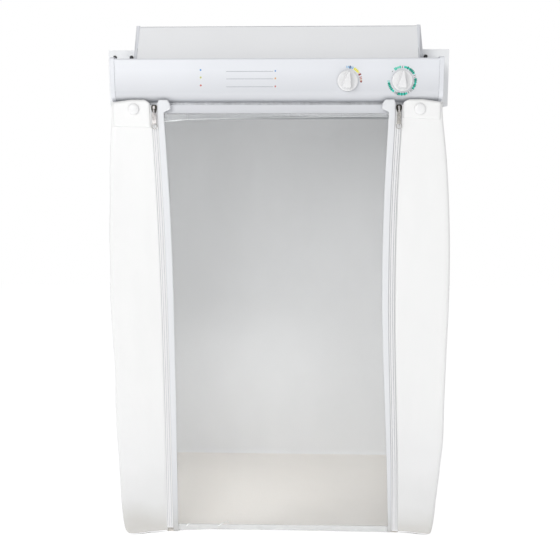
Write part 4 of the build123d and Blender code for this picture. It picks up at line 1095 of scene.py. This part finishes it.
# Knobs: a round dial and a wedge grip, narrow at the top
KNOB_FACE, KNOB_Z = -404.8, -11.5
DIAL = [(18.2, 0), (18.5, -0.3), (18.5, -4.4), (18.3, -5.1), (17.7, -5.7), (16.9, -6.0), (15.6, -6.0), (14.6, -5.8)]
GRIP_FOOT = mirrored([(2.2, 16.7), (9.2, -12.6), (6.2, -16.5)])
GRIP_HEAD = mirrored([(1.5, 15.4), (7.0, -9.4), (5.0, -12.4)])


def knob(name, node_name, body, x0, turn):
    c, s = math.cos(math.radians(turn)), math.sin(math.radians(turn))

    def rotated(points):
        return [(x0 + x * c + z * s, y, KNOB_Z - x * s + z * c) for x, y, z in points]

    verts, faces = turned(DIAL, 72, y0=KNOB_FACE)
    dial = made(name, rotated(verts), faces, body, "knob_moulding")
    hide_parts(node_name)
    verts = [(x, KNOB_FACE - 5.4, z) for x, z in GRIP_FOOT]
    verts += [(x, KNOB_FACE - 17.2 - (z - 2) * 0.02, z) for x, z in GRIP_HEAD]
    faces = quads(2, 6) + [(6, 7, 8, 9, 10, 11)]
    grip = made(name + "_grip", rotated(verts), faces, body, "knob_moulding", smooth=True)
    bevel(grip, 1.0, 4, 20)


knob("knob_programme", "programme_knob", "programme_dial", 129.5, 8)
knob("knob_timer", "timer_knob", "timer_dial", 227.5, 4)

# Snaps
CAP = [(10.3, -0.2), (10.1, -1.2), (9.6, -2.3), (8.4, -3.2), (6.2, -3.9), (3.0, -4.15)]
for side, tag in SIDES:
    verts, faces = turned(CAP, 48, side * SNAP_X, REACH, SNAP_Z)
    snap = made(f"snap_{tag}", verts, faces, "cabinet", "white_moulding")
    if side > 0:
        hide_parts("snap_caps")

# Soft studio surroundings: a white backdrop, and a dimmer room that is darker towards the ground
world = bpy.data.worlds.new("world")
bpy.context.scene.world = world
world.use_nodes = True
wt = world.node_tree
sky = wt.nodes["Background"]
direction = node(wt, "ShaderNodeTexCoord").outputs["Generated"]
level = ramp(wt, height(wt, direction), 0, 1, -0.6, 0.7)
fill(wt, sky, {0: mixed(wt, level, (0.42, 0.42, 0.42), (0.44, 0.443, 0.448))})
backdrop = node(wt, "ShaderNodeBackground", {"Color": (1, 1, 1, 1), "Strength": 1.0})
seen = node(wt, "ShaderNodeLightPath").outputs["Is Camera Ray"]
both = node(wt, "ShaderNodeMixShader", {0: seen, 1: sky.outputs[0], 2: backdrop.outputs[0]})
wt.links.new(both.outputs[0], wt.nodes["World Output"].inputs[0])


def lamp(name, place, aim, size, power, colour=(1, 1, 1)):
    data = bpy.data.lights.new(name, "AREA")
    data.shape = "RECTANGLE"
    data.size, data.size_y = size
    data.energy, data.color = power, colour
    obj = placed(name, data)
    obj.location = place
    obj.rotation_euler = (Vector(aim) - Vector(place)).to_track_quat("-Z", "Y").to_euler()
    return obj


lamp("key", (-1.5, -2.9, 1.1), (0, -0.3, -0.45), (2.4, 2.0), 44)
lamp("fill", (1.5, -3.0, -0.3), (0, -0.2, -0.45), (1.6, 1.6), 6.5)
# What shines through the thin sheet into the bag
COOL = (0.97, 0.985, 1.0)
inside = [
    lamp("glow_low", (-0.13, -0.37, -0.62), (-0.13, 0.0, -0.62), (0.20, 0.48), 0.102, COOL),
    lamp("glow_top", (0.0, -0.33, -0.25), (0.0, 0.0, -0.04), (0.34, 0.06), 0.014),
    lamp("glow_down", (-0.07, -0.30, -0.32), (-0.09, -0.16, -0.88), (0.36, 0.10), 0.24),
]
inside[2].data.spread = math.radians(84)
for g in inside:
    g.visible_camera = g.visible_glossy = False

# Plain pale floor, well below the bag
FLOOR_HALF, FLOOR_Z = 8, -1.9
mesh = bpy.data.meshes.new("floor")
corners = [(x * FLOOR_HALF, y * FLOOR_HALF, FLOOR_Z) for x, y in ((-1, -1), (1, -1), (1, 1), (-1, 1))]
mesh.from_pydata(corners, [], [(0, 1, 2, 3)])
floor = placed("floor", mesh)
floor_m, floor_t, floor_b = shader("floor", (0.9, 0.9, 0.9), 0.8)
fill(floor_t, floor_b, {"Emission Color": (1, 1, 1, 1), "Emission Strength": 0.6})
mesh.materials.append(floor_m)
floor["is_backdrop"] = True
bpy.context.scene.view_settings.view_transform = "Standard"

# Sizes
low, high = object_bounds()
{"cad": [list(cad_low), list(cad_high)], "visual": [list(low), list(high)]}
